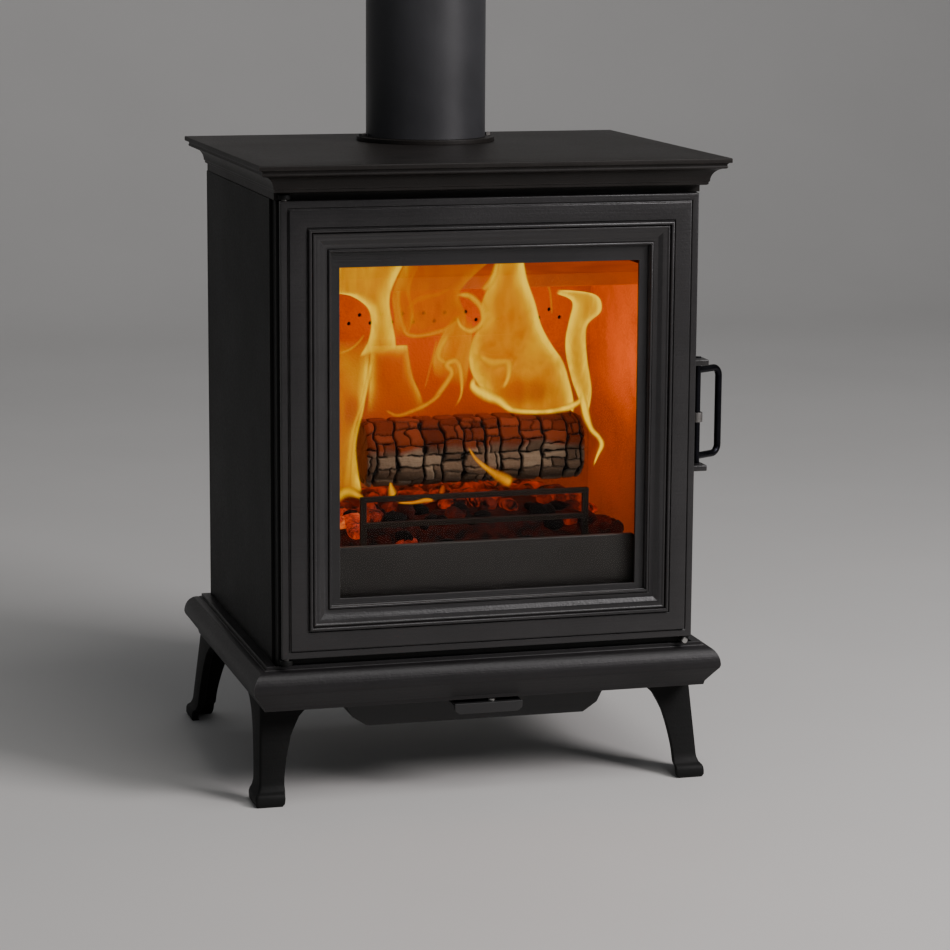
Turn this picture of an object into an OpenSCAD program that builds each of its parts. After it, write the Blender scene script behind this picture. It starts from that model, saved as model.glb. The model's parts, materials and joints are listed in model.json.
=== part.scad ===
// Free-standing wood burning stove on four splayed legs: a cast body with a moulded top plate and
// plinth, one framed glass door, a top flue outlet and a lined firebox. Millimetres, +Z up, the
// origin on the floor under the middle of the stove, and the door on the -Y side.

/* [Body] */
// Width across the side panels
body_w = 444; // [430:2:460]
// Depth of the side panels
body_d = 328; // [320:2:340]
// Height of the base plate's underside above the floor
leg_h = 104; // [96:1:116]
// Thickness of the cast panels
wall = 7; // [5:1:8]

/* [Mouldings] */
// How far the top plate stands out past the side panels
top_out = 21; // [16:1:26]
// How far the plinth stands out past the side panels
plinth_out = 26; // [20:1:28]
// Height of the plinth
plinth_h = 46; // [44:1:48]

/* [Door] */
// Width of the door
door_w = 434; // [426:2:436]
// Height of the door
door_h = 461; // [457:1:462]
// Width of the glass that shows
window_w = 312; // [300:2:316]
// Radius of the round bar of the handle
bar_r = 3.6; // [3:0.1:3.7]

/* [Flue] */
// Outside radius of the flue pipe
flue_r = 64; // [60:1:66]
// Length of the flue pipe
pipe_l = 245; // [150:5:300]

/* [Fire] */
// Radius of the log on the fire
log_r = 38; // [30:1:38]
// Length of the log on the fire
log_l = 244; // [180:2:244]
// Furthest travel of the air slider
air_travel = 25; // [15:1:25]

/* [Hidden] */

cast_black = "#303030";
$fn = 48;
eps = 0.01;

// Body planes
back_y = 160;
panel_front_y = back_y - body_d;
frame_t = 18;
frame_y = panel_front_y - frame_t;
half_w = body_w / 2;
frame_half = half_w - 3;
base_t = 8;
base_top = leg_h + base_t;
panel_top = leg_h + 516;

// Top plate, outwards from the panels' own rectangle, in height above the panels' tops
neck_in = 8.5;
neck_h = 8;
cove = [for (a = [0 : 15 : 90]) [3.5 + 12.5 * (1 - cos(a)), 12 + 13.5 * sin(a)]];
top_levels = concat([[0.5, neck_h], [2.4, neck_h + 1], [2.4, neck_h + 3.2]], cove,
    [[17, 26], [17.6, 27.2], [17, 28.4], [17, 30], [18.6, 31.4], [top_out, 31.6],
     [top_out, 35.4], [top_out - 1, 36.4]]);
top_z = panel_top + 36.4;
top_pocket_z = panel_top + 26;

// Plinth, outwards from the panels' rectangle, in height above the base plate's underside
plinth_bow = [for (a = [0 : 15 : 90])
    [11.5 + (plinth_out - 11.5) * sin(a), 23 + 19 * cos(a)]];
plinth_levels = concat([[12, 0], [13, 4], [20, 13.5], [plinth_out - 1, 20]],
    [for (i = [len(plinth_bow) - 1 : -1 : 0]) plinth_bow[i]],
    [[9.4, 42.6], [9.4, 45.2], [8.6, plinth_h]]);

// Legs: height, flare of the foot, width of the front leaf, width of the side leaf
leg_rows = [[0, 3.2, 27, 34], [2.5, 4.6, 30, 37], [8, 5, 31, 38], [12, 4.2, 30, 37],
    [15, 1.6, 28, 35], [22, 0, 26, 33], [45, 0, 28, 34], [70, 0, 33, 38], [88, 0, 41, 46],
    [97, 0, 50, 56], [102, 0, 60, 66], [leg_h, 0, 66, 72]];
leg_leaf = 8;
leg_top_x = half_w + 9;
leg_lean_x = 6;
front_leg_y = -152;
front_lean_y = 22;
back_leg_y = 176;
back_lean_y = 34;
pad_t = 6;
leg_bolt_r = 4;

// Door, in depth behind the plane of its raised field, with its inner rim as the reference
door_y = -200;
door_z = leg_h + 54.5;
door_half = door_w / 2;
rim_front = 2.5;
door_back = 12.5;
field_in = 8.5;
inner_half = window_w / 2 + 10.5;
inner_z0 = leg_h + 106.5;
inner_z1 = leg_h + 464.5;
window_z0 = leg_h + 113;
window_z1 = leg_h + 448;
moulding_w = 25;
flange_front = 9.2;
glass_front = 13.6;
glass_back = 17.6;
glass_edge = 8;
ogee = [for (a = [0 : 15 : 180]) [3.4 + 12.6 * a / 180, 1.6 + 2.1 * cos(a)]];
bead = [for (a = [0 : 30 : 180]) [21.6 - 1.7 * cos(a), -1.6 - 1.7 * sin(a)]];
// Closed section of the moulding round the window: outward from the inner rim, depth
moulding = concat([[27, door_back], [-1.6, door_back], [-1.6, 8], [-0.8, 5.2], [-0.4, 3.6],
    [0.3, 2.6], [1.2, 2.4], [2.1, 2.9], [2.6, 4.2]], ogee, [[16.6, -0.9], [17.4, -1.4],
    [18.4, -1.2], [18.8, -0.4]], bead, [[23.5, 1.5], [27, 1.5]]);
rope_in = 39;
rope_w = 6;
hinge = [10 - half_w, -193];
hinge_pin_r = 3;
lug_t = 6;
spindle = [225.5, -178];
loop_reach = [29, 16];
loop_z0 = leg_h + 241;
loop_z1 = leg_h + 331;
latch_z = leg_h + 282;
running = 0.06;

// Fire opening of the front frame
fire_half = window_w / 2 + 19;
fire_z0 = leg_h + 93;
fire_z1 = leg_h + 479;

// Flue
flue_y = 71;
outlet_r = 57;
collar_r = 74;
collar_t = 4.6;
spigot_r = flue_r - 2.6;
pipe_wall = 2;
rear_outlet_z = leg_h + 466;
rear_outlet_r = 46;

// Firebox
floor_z = leg_h + 84;
floor_top = floor_z + 8;
hearth_z = leg_h + 128;
hearth_top = hearth_z + 8;
brick_in = 190;
brick_t = 22;
back_brick_y = 76;
brick_top = leg_h + 418;
air_row_z = leg_h + 364;
air_pitch = 23.8;
rod = [200, -159, 130];
rod_r = 4;
retainer_y = -136;
log_y = -92;
log_z = leg_h + 244;

// Air slider
slider_z = leg_h - 7;
slider_half = 36;
inlet_y = -95;

module block(lo, hi) translate(lo) cube(hi - lo);

// A rectangle lofted through levels of [outwards, height]
module rect_stack(x0, x1, y0, y1, z, levels) {
    n = len(levels);
    points = [for (l = levels) each [[x0 - l[0], y0 - l[0], z + l[1]],
        [x1 + l[0], y0 - l[0], z + l[1]], [x1 + l[0], y1 + l[0], z + l[1]],
        [x0 - l[0], y1 + l[0], z + l[1]]]];
    sides = [for (k = [0 : n - 2], i = [0 : 3])
        [4 * k + i, 4 * k + i + 4, 4 * k + (i + 1) % 4 + 4, 4 * k + (i + 1) % 4]];
    last = 4 * n - 1;
    polyhedron(points, concat([[0, 1, 2, 3], [last, last - 1, last - 2, last - 3]], sides));
}

// A closed section of [outwards, depth] carried round an upright rectangle, mitred at its corners
module upright_frame(x0, x1, z0, z1, y, section) {
    n = len(section);
    corners = [[x0, -1, z0, -1], [x1, 1, z0, -1], [x1, 1, z1, 1], [x0, -1, z1, 1]];
    points = [for (c = corners, s = section)
        [c[0] + c[1] * s[0], y + s[1], c[2] + c[3] * s[0]]];
    polyhedron(points, [for (c = [0 : 3], j = [0 : n - 1])
        [c * n + j, ((c + 1) % 4) * n + j, ((c + 1) % 4) * n + (j + 1) % n, c * n + (j + 1) % n]]);
}

// A flat frame with a rectangular hole
module flat_frame(half, z0, z1, hole_half, hole_z0, hole_z1, y0, y1) {
    difference() {
        block([-half, y0, z0], [half, y1, z1]);
        block([-hole_half, y0 - 1, hole_z0], [hole_half, y1 + 1, hole_z1]);
    }
}

module hex_bolt(r, head_r, head_t, length) {
    cylinder(r = head_r, h = head_t, $fn = 6);
    translate([0, 0, head_t - eps]) cylinder(r = r, h = length + eps);
}

module at_rods(r, z0, z1)
    for (x = [-rod[0], rod[0]], y = [rod[1], rod[2]])
        translate([x, y, z0]) cylinder(r = r, h = z1 - z0);

// Middle of the bolt of the leg in one corner
function leg_bolt_at(sx, sy) = sy < 0
    ? [sx * (leg_top_x - 24), front_leg_y + 26] : [sx * (leg_top_x - 24), back_leg_y - 26];

module at_leg_bolts(r, z0, z1)
    for (sx = [-1, 1], sy = [-1, 1])
        translate([each leg_bolt_at(sx, sy), z0]) cylinder(r = r, h = z1 - z0);

module base_plate() {
    color(cast_black) difference() {
        block([-half_w, frame_y, leg_h], [half_w, back_y, base_top]);
        at_leg_bolts(leg_bolt_r + running, leg_h - 1, base_top + 1);
        block([-25, inlet_y - 15, leg_h - 1], [25, inlet_y + 15, base_top + 1]);
    }
}

module side_panel(s) {
    color(cast_black) {
        mirror([s < 0 ? 1 : 0, 0, 0]) {
            block([half_w - wall, panel_front_y, base_top], [half_w, back_y - wall, panel_top]);
            for (y = [panel_front_y + 6, back_y - wall - 14])
                block([half_w - wall - 3, y, base_top], [half_w - wall, y + 8, panel_top]);
        }
    }
}

module back_panel() {
    color(cast_black) difference() {
        block([-half_w, back_y - wall, base_top], [half_w, back_y, panel_top]);
        translate([0, back_y + 1, rear_outlet_z]) rotate([90, 0, 0])
            cylinder(r = rear_outlet_r + 0.6, h = wall + 2);
        for (s = [-1, 1]) translate([s * 60, back_y + 1, rear_outlet_z]) rotate([90, 0, 0])
            cylinder(r = 3 + running, h = wall + 2);
    }
}

module front_frame() {
    color(cast_black) difference() {
        flat_frame(frame_half, base_top, panel_top, fire_half, fire_z0, fire_z1,
            frame_y, panel_front_y);
        flat_frame(frame_half + 1, fire_z0 - 60, fire_z1 + 60, fire_half + 26, fire_z0 - 26,
            fire_z1 + 26, frame_y - 1, frame_y + 1.2);
    }
    color(cast_black) flat_frame(frame_half, door_z + 4, panel_top - 4, fire_half + 30,
        fire_z0 - 30, fire_z1 + 28, frame_y, frame_y + 4);
}

module top_plate() {
    color("#3a3836") difference() {
        union() {
            rect_stack(-half_w, half_w, frame_y - 15.5, back_y - 6, panel_top, top_levels);
            block([neck_in - half_w, frame_y, panel_top], [half_w - neck_in, back_y - 7,
                panel_top + neck_h + 1]);
        }
        block([-half_w + 15, frame_y + 12, panel_top - 1], [half_w - 15, back_y - 20, top_pocket_z]);
        translate([0, flue_y, panel_top]) cylinder(r = outlet_r, h = 60);
        for (a = [0, 90, 180]) translate([0, flue_y, panel_top]) rotate([0, 0, a])
            translate([flue_r + 5, 0, 0]) cylinder(r = 2.5 + running, h = 60);
    }
}

module plinth() {
    color(cast_black) difference() {
        rect_stack(-half_w, half_w, frame_y + 7, back_y - 5, leg_h, plinth_levels);
        block([-half_w, frame_y, leg_h - 1], [half_w, back_y, leg_h + plinth_h + 1]);
    }
}

// One L-section leg, drawn for the front right corner
module leg_shape(top_y, lean_y) {
    n = 8;
    t = leg_leaf;
    rings = [for (row = leg_rows)
        let (k = (leg_h - row[0]) / leg_h, x = leg_top_x + leg_lean_x * k + row[1],
             y = top_y - lean_y * k - row[1] * 1.3, a = row[2], b = row[3], z = row[0])
        [[x - a, y, z], [x - 3, y, z], [x - 0.9, y + 0.9, z], [x, y + 3, z], [x, y + b, z],
         [x - t, y + b, z], [x - t, y + t, z], [x - a, y + t, z]]];
    m = len(rings);
    // Both ends start at the inner corner, so that they are split from there
    inner = 6;
    polyhedron([for (r = rings) each r], concat([[for (i = [0 : n - 1]) (inner + i) % n]],
        [[for (i = [n - 1 : -1 : 0]) (m - 1) * n + (inner + 1 + i) % n]],
        [for (k = [0 : m - 2], i = [0 : n - 1])
            [k * n + i, (k + 1) * n + i, (k + 1) * n + (i + 1) % n, k * n + (i + 1) % n]]));
}

module leg(sx, sy) {
    top_y = sy < 0 ? front_leg_y : -back_leg_y;
    lean_y = sy < 0 ? front_lean_y : back_lean_y;
    color(cast_black) mirror([sx < 0 ? 1 : 0, 0, 0]) mirror([0, sy < 0 ? 0 : 1, 0])
        leg_shape(top_y, lean_y);
}

// The flange inside the top of each leg, which the leg's bolt goes through
module leg_flanges() {
    color(cast_black) for (sx = [-1, 1], sy = [-1, 1]) difference() {
        translate([each leg_bolt_at(sx, sy), leg_h - pad_t]) mirror([sx < 0 ? 1 : 0, 0, 0])
            mirror([0, sy < 0 ? 0 : 1, 0]) translate([-18, -17.5, 0]) cube([33.5, 38, pad_t]);
        translate([each leg_bolt_at(sx, sy), leg_h - pad_t - 1])
            cylinder(r = leg_bolt_r + running, h = pad_t + 2);
    }
}

module leg_bolts() {
    color("#4a4a4a") for (sx = [-1, 1], sy = [-1, 1])
        translate([each leg_bolt_at(sx, sy), leg_h - pad_t - 5])
            hex_bolt(leg_bolt_r, 7, 5, pad_t + base_t);
}

module tie_rods() {
    color("#5a5a58") {
        at_rods(rod_r, base_top, top_pocket_z);
        for (x = [-rod[0], rod[0]], y = [rod[1], rod[2]])
            translate([x, y, base_top]) cylinder(r = 7.5, h = 6, $fn = 6);
    }
}

module flue_collar() {
    color("#2c2c2c") translate([0, flue_y, top_z]) difference() {
        union() {
            cylinder(r = collar_r, h = collar_t, $fn = 96);
            cylinder(r = spigot_r, h = 34, $fn = 96);
        }
        translate([0, 0, -1]) cylinder(r = outlet_r, h = 40, $fn = 96);
        for (a = [0, 90, 180]) rotate([0, 0, a]) translate([flue_r + 5, 0, -1])
            cylinder(r = 2.5 + running, h = collar_t + 2);
    }
}

module collar_bolts() {
    color("#5a5a58") for (a = [0, 90, 180]) translate([0, flue_y, top_z + collar_t + 3])
        rotate([0, 0, a]) translate([flue_r + 5, 0, 0]) rotate([180, 0, 0])
            hex_bolt(2.5, 4.4, 3, collar_t + 8);
}

module flue_pipe() {
    color("#6c6c6c") translate([0, flue_y, top_z + collar_t]) difference() {
        cylinder(r = flue_r, h = pipe_l, $fn = 96);
        translate([0, 0, -1]) cylinder(r = flue_r - pipe_wall, h = pipe_l + 2, $fn = 96);
    }
}

module rear_blanking_plate() {
    color(cast_black) translate([0, back_y, rear_outlet_z]) rotate([-90, 0, 0]) {
        difference() {
            union() {
                cylinder(r = rear_outlet_r + 7, h = 5, $fn = 64);
                for (s = [-1, 1]) translate([s * 60, 0, 0]) cylinder(r = 9, h = 5);
                cylinder(r = rear_outlet_r - 16, h = 7, $fn = 64);
            }
            for (s = [-1, 1]) translate([s * 60, 0, -1]) cylinder(r = 3 + running, h = 7);
        }
        translate([0, 0, -4]) cylinder(r = rear_outlet_r, h = 4 + eps, $fn = 64);
    }
}

module blanking_plate_bolts() {
    color("#5a5a58") for (s = [-1, 1]) translate([s * 60, back_y + 9, rear_outlet_z])
        rotate([90, 0, 0]) hex_bolt(3, 5.5, 4, 5 + wall);
}

module firebox_floor() {
    color("#262626") difference() {
        block([wall - half_w + 4, panel_front_y, floor_z],
            [half_w - wall - 4, back_y - wall, floor_top]);
        at_rods(rod_r + 0.5, floor_z - 1, floor_top + 1);
        for (x = [-60 : 30 : 60]) block([x - 6, 66, floor_z - 1], [x + 6, 120, floor_top + 1]);
    }
}

module hearth_supports() {
    color("#262626") for (s = [-1, 1])
        block([s * 168 - 8, -150, floor_top], [s * 168 + 8, 70, hearth_z]);
}

module hearth_plate() {
    color("#262626") difference() {
        block([-brick_in - brick_t, -166, hearth_z], [brick_in + brick_t, 98, hearth_top]);
        block([-92, -112, hearth_z - 1], [92, 32, hearth_top + 1]);
        block([-100, -120, hearth_top - 5], [100, 40, hearth_top + 1]);
        at_rods(rod_r + 0.5, hearth_z - 1, hearth_top + 1);
    }
}

module grate() {
    color("#1e1e1e") difference() {
        block([-99.4, -119.4, hearth_top - 5], [99.4, 39.4, hearth_top]);
        for (x = [-82 : 16.4 : 82]) block([x - 4, -108, hearth_top - 6], [x + 4, 28, hearth_top + 1]);
    }
}

module ash_pan() {
    color("#555553") difference() {
        block([-118, -158, floor_top], [118, 52, floor_top + 32]);
        block([-116, -156, floor_top + 2], [116, 50, floor_top + 33]);
    }
    color("#555553") for (s = [-1, 1])
        block([s * 26 - 3, -163, floor_top + 18], [s * 26 + 3, -158, floor_top + 26]);
    color("#555553") block([-29, -165, floor_top + 18], [29, -163, floor_top + 26]);
}

module side_brick(s) {
    color("#b98a5a") mirror([s < 0 ? 1 : 0, 0, 0])
        block([brick_in, -150, hearth_top], [brick_in + brick_t, 98, brick_top]);
}

module back_brick() {
    color("#b98a5a") block([0.5 - brick_in, back_brick_y, hearth_top],
        [brick_in - 0.5, back_brick_y + brick_t, air_row_z - 26]);
}

module air_panel() {
    color("#4b3a30") difference() {
        union() {
            block([0.5 - brick_in, back_brick_y, air_row_z - 26],
                [brick_in - 0.5, back_brick_y + 4, brick_top]);
            block([0.5 - brick_in, back_brick_y + 4, air_row_z - 26],
                [brick_in - 0.5, back_brick_y + brick_t, air_row_z - 22]);
        }
        for (i = [-6 : 6]) translate([i * air_pitch, back_brick_y - 1, air_row_z])
            rotate([-90, 0, 0]) cylinder(r = 2.3, h = 6, $fn = 16);
        for (i = [-6.5 : 6.5]) translate([i * air_pitch, back_brick_y - 1, air_row_z - 9])
            rotate([-90, 0, 0]) cylinder(r = 2.3, h = 6, $fn = 16);
    }
}

module baffle() {
    color("#33302d") block([-208, -100, brick_top], [208, 98, brick_top + 8]);
    color("#33302d") block([-brick_in + 1, -104, brick_top - 6], [brick_in - 1, -100, brick_top + 8]);
}

module fire_fence() {
    color(cast_black) translate([0, -169, 0]) rotate([90, 0, 0]) linear_extrude(5)
        polygon([[-165, fire_z0], [165, fire_z0], [165, fire_z0 + 63], [159, fire_z0 + 69],
            [-159, fire_z0 + 69], [-165, fire_z0 + 63]]);
}

module log_retainer() {
    color("#3c332c") {
        for (z = [leg_h + 173, leg_h + 200])
            block([-122, retainer_y - 3.5, z], [122, retainer_y + 3.5, z + 5]);
        for (x = [-122, 116])
            block([x, retainer_y - 3, hearth_top], [x + 6, retainer_y + 3, leg_h + 201]);
    }
}

module firewood_log() {
    color("#5b3b25") translate([6 - log_l / 2, log_y, log_z]) rotate([0, 90, 0])
        cylinder(r = log_r, h = log_l);
}

module ember_bed() {
    color("#8a3a16") rect_stack(-140, 140, -92, 30, hearth_top, [[34, 0], [30, 26], [14, 52], [0, 62]]);
}

module heat_shield() {
    z0 = leg_h - 34;
    outer = [[-117, z0], [117, z0], [132, z0 + 10], [138, z0 + 22], [138, leg_h], [-138, leg_h],
        [-138, z0 + 22], [-132, z0 + 10]];
    inner = [[-116, z0 + 2], [116, z0 + 2], [130, z0 + 11], [136, z0 + 22.5], [136, leg_h + 1],
        [-136, leg_h + 1], [-136, z0 + 22.5], [-130, z0 + 11]];
    color("#2a2a2a") difference() {
        translate([0, 92, 0]) rotate([90, 0, 0]) linear_extrude(236) polygon(outer);
        translate([0, 90, 0]) rotate([90, 0, 0]) linear_extrude(232) polygon(inner);
        block([-38, -150, slider_z - 2], [38, -140, leg_h + 1]);
    }
    color("#2a2a2a") for (sx = [-1, 1], y = [-120, 64]) difference() {
        translate([sx * 126 - 10, y - 8, leg_h - 2]) cube([20, 16, 2]);
        translate([sx * 126, y, leg_h - 3]) cylinder(r = 2.6, h = 4);
    }
}

module shield_screws() {
    color("#5a5a58") for (sx = [-1, 1], y = [-120, 64]) translate([sx * 126, y, leg_h - 5])
        cylinder(r = 4.5, h = 3);
}

module air_guide() {
    color("#2a2a2a") difference() {
        block([-45, -138, leg_h - 11], [45, -52, leg_h]);
        block([-slider_half - 0.4, -139, slider_z - 0.4], [slider_half + 0.4, -51, slider_z + 3.4]);
        block([-30, -139, leg_h - 12], [30, -51, leg_h + 1]);
    }
}

module air_slider() {
    color("#2a2a2a") {
        difference() {
            block([-slider_half, -190, slider_z],
                [slider_half, inlet_y + air_travel + 22, slider_z + 3]);
            block([-25, inlet_y + air_travel - 5, slider_z - 1],
                [25, inlet_y + air_travel + 17, slider_z + 4]);
        }
        translate([0, -190, 0]) rotate([90, 0, 0]) linear_extrude(3)
            polygon([[-slider_half, slider_z + 3], [-slider_half, slider_z - 4],
                [5 - slider_half, slider_z - 8], [slider_half - 5, slider_z - 8],
                [slider_half, slider_z - 4], [slider_half, slider_z + 3]]);
    }
}

module air_knob() {
    color("#9a9894") translate([5, -184, slider_z + 3]) {
        cylinder(r = 4.5, h = 2.2);
        translate([0, 0, 2.2]) cylinder(r1 = 4.5, r2 = 3.4, h = 1);
    }
}

module hinge_brackets() {
    color(cast_black) for (z = [door_z - 6.5, door_z + door_h + 1.5]) difference() {
        union() {
            translate([hinge[0] - 6, hinge[1], z]) cube([12, frame_y - hinge[1], 5]);
            translate([hinge[0], hinge[1], z]) cylinder(r = 6, h = 5);
        }
        translate([hinge[0], hinge[1], z - 1]) cylinder(r = hinge_pin_r + running, h = 7);
    }
}

module hinge_pins() {
    color("#8b8983") {
        translate([hinge[0], hinge[1], door_z - 6.5]) cylinder(r = hinge_pin_r, h = 18);
        translate([hinge[0], hinge[1], door_z + door_h - 11.5]) cylinder(r = hinge_pin_r, h = 18);
    }
}

module door_rest_peg() {
    color("#c8c6c0") translate([210, frame_y, door_z - 4.6]) rotate([90, 0, 0]) {
        cylinder(r = 3.6, h = 11);
        translate([0, 0, 11]) cylinder(r1 = 3.6, r2 = 2.6, h = 1.4);
    }
}

module latch_keeper() {
    color("#8b8983") difference() {
        block([half_w, panel_front_y + 1, latch_z - 11], [half_w + 3, panel_front_y + 21, latch_z + 11]);
        for (z = [-6, 6]) translate([half_w - 1, panel_front_y + 15, latch_z + z])
            rotate([0, 90, 0]) cylinder(r = 1.8, h = 5);
    }
}

module keeper_screws() {
    color("#b0aea8") for (z = [-6, 6])
        translate([half_w + 3, panel_front_y + 15, latch_z + z]) rotate([0, 90, 0])
            cylinder(r1 = 3.4, r2 = 2.4, h = 1.6);
}

// Corner that the door's back edge loses, so that it clears the frame as it turns
module door_back_chamfer() {
    translate([-door_half, door_y + door_back, door_z - 1]) rotate([0, 0, 45])
        translate([-2.6, -2.6, 0]) cube([5.2, 5.2, door_h + 2]);
}

module door_casting() {
    door_top = door_z + door_h;
    recess = glass_edge + 1.5;
    color("#343434") difference() {
        union() {
            flat_frame(door_half, door_z, door_top, inner_half + 26, inner_z0 - 26, inner_z1 + 26,
                door_y + rim_front, door_y + door_back);
            flat_frame(door_half - field_in, door_z + field_in + 0.5, door_top - field_in - 0.5,
                inner_half + moulding_w, inner_z0 - moulding_w, inner_z1 + moulding_w,
                door_y, door_y + door_back - 1);
            upright_frame(-inner_half, inner_half, inner_z0, inner_z1, door_y, moulding);
            flat_frame(inner_half + 20, inner_z0 - 20, inner_z1 + 20, window_w / 2, window_z0,
                window_z1, door_y + flange_front, door_y + door_back);
            flat_frame(window_w / 2 + 16, window_z0 - 16, window_z1 + 16, window_w / 2 + recess,
                window_z0 - recess, window_z1 + recess, door_y + door_back - 1, door_y + glass_back);
            for (z = [loop_z0 - 13, loop_z1 + 7]) {
                block([door_half - 4, door_y + 4, z],
                    [spindle[0] + 6, door_y + door_back, z + lug_t]);
                block([half_w - 2.3, door_y + door_back - 1, z],
                    [spindle[0] + 6, spindle[1] + 5.5, z + lug_t]);
            }
        }
        door_back_chamfer();
        flat_frame(window_w / 2 + rope_in - 10, window_z0 - 29.5, window_z1 + 29.5,
            window_w / 2 + rope_in - 10 - rope_w - 0.6, window_z0 - 29.5 + rope_w + 0.6,
            window_z1 + 29.5 - rope_w - 0.6, door_y + door_back - 5, door_y + door_back + 1);
        for (z = [door_z - 1, door_top - 13]) translate([hinge[0], hinge[1], z])
            cylinder(r = hinge_pin_r + running, h = 14);
        for (z = [loop_z0 - 14, loop_z1 + 6]) translate([spindle[0], spindle[1], z])
            cylinder(r = bar_r + running, h = lug_t + 2);
        at_clips(1.5, glass_back - 6, glass_back + 1);
    }
}

// Cylinders into the back of the door at the middle of each glass clip
module at_clips(r, depth0, depth1) {
    for (x = [-120, 120], z = [window_z0 - 12.4, window_z1 + 12.4])
        translate([x, door_y + depth0, z]) rotate([-90, 0, 0]) cylinder(r = r, h = depth1 - depth0);
    for (s = [-1, 1], z = [window_z0 + 110, window_z1 - 110])
        translate([s * (window_w / 2 + 12.4), door_y + depth0, z]) rotate([-90, 0, 0])
            cylinder(r = r, h = depth1 - depth0);
}

module door_glass() {
    color([0.2, 0.16, 0.12, 0.4]) block([-window_w / 2 - glass_edge, door_y + glass_front,
        window_z0 - glass_edge], [window_w / 2 + glass_edge, door_y + glass_back,
        window_z1 + glass_edge]);
}

module glass_gasket() {
    color("#d8d2c4") flat_frame(window_w / 2 + glass_edge, window_z0 - glass_edge,
        window_z1 + glass_edge, window_w / 2 + 2, window_z0 - 2, window_z1 + 2,
        door_y + door_back, door_y + glass_front);
}

module door_rope() {
    section = [for (a = [22.5 : 45 : 360]) [rope_w / 2 * cos(a), 3.1 * sin(a)] / cos(22.5)];
    half = window_w / 2 + rope_in - 10 - rope_w / 2 - 0.3;
    color("#cfc8b8") upright_frame(-half, half, window_z0 - 26.2, window_z1 + 26.2,
        door_y + door_back - 1.9, section);
}

module glass_clips() {
    color("#8b8983") difference() {
        union() {
            for (x = [-120, 120], z = [window_z0 - 9, window_z1 + 9])
                block([x - 9, door_y + glass_back, z - 6.5], [x + 9, door_y + glass_back + 1.6, z + 6.5]);
            for (s = [-1, 1], z = [window_z0 + 110, window_z1 - 110])
                block([s * (window_w / 2 + 9) - 6.5, door_y + glass_back, z - 9],
                    [s * (window_w / 2 + 9) + 6.5, door_y + glass_back + 1.6, z + 9]);
        }
        at_clips(1.8, glass_back - 1, glass_back + 3);
    }
}

module clip_screws() {
    color("#b0aea8") {
        at_clips(3, glass_back + 1.6, glass_back + 3.4);
        at_clips(1.45, glass_back - 5.5, glass_back + 1.6 + eps);
    }
}

module handle_loop() {
    reach = norm(loop_reach);
    bend = 9;
    color("#4c4c50") translate([spindle[0], spindle[1], 0])
        rotate([0, 0, atan2(loop_reach[1], loop_reach[0])]) {
            translate([0, 0, loop_z0 - 14]) cylinder(r = bar_r, h = loop_z1 - loop_z0 + 28);
            translate([reach, 0, loop_z0 + bend]) cylinder(r = bar_r, h = loop_z1 - loop_z0 - 2 * bend);
            for (z = [loop_z0, loop_z1]) translate([0, 0, z]) rotate([0, 90, 0])
                cylinder(r = bar_r, h = reach - bend);
            translate([reach - bend, 0, loop_z1 - bend]) rotate([90, 0, 0])
                rotate_extrude(angle = 90) translate([bend, 0]) circle(r = bar_r);
            translate([reach - bend, 0, loop_z0 + bend]) rotate([90, 90, 0])
                rotate_extrude(angle = 90) translate([bend, 0]) circle(r = bar_r);
        }
}

module latch_cam() {
    color("#8b8983") translate([spindle[0], spindle[1], latch_z - 5]) difference() {
        union() {
            cylinder(r = 6, h = 10);
            translate([0.2, 0, 0]) cube([5.6, 20, 10]);
        }
        translate([0, 0, -1]) cylinder(r = bar_r + 0.04, h = 12);
    }
}

base_plate();
side_panel(-1);  // left_side_panel
side_panel(1);  // right_side_panel
back_panel();
front_frame();
top_plate();
plinth();
leg(-1, -1);  // front_left_leg
leg(1, -1);  // front_right_leg
leg(-1, 1);  // back_left_leg
leg(1, 1);  // back_right_leg
leg_flanges();
leg_bolts();
tie_rods();
flue_collar();
collar_bolts();
flue_pipe();
rear_blanking_plate();
blanking_plate_bolts();
firebox_floor();
hearth_supports();
hearth_plate();
grate();
ash_pan();
side_brick(-1);  // left_brick
side_brick(1);  // right_brick
back_brick();
air_panel();
baffle();
fire_fence();
log_retainer();
firewood_log();
ember_bed();
heat_shield();
shield_screws();
air_guide();
hinge_brackets();
hinge_pins();
door_rest_peg();
latch_keeper();
keeper_screws();
door_casting();
door_glass();
glass_gasket();
door_rope();
glass_clips();
clip_screws();
handle_loop();
latch_cam();
air_slider();
air_knob();
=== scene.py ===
import json
import math
import random

import bpy
import bmesh
from mathutils import Matrix, Vector, noise

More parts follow.
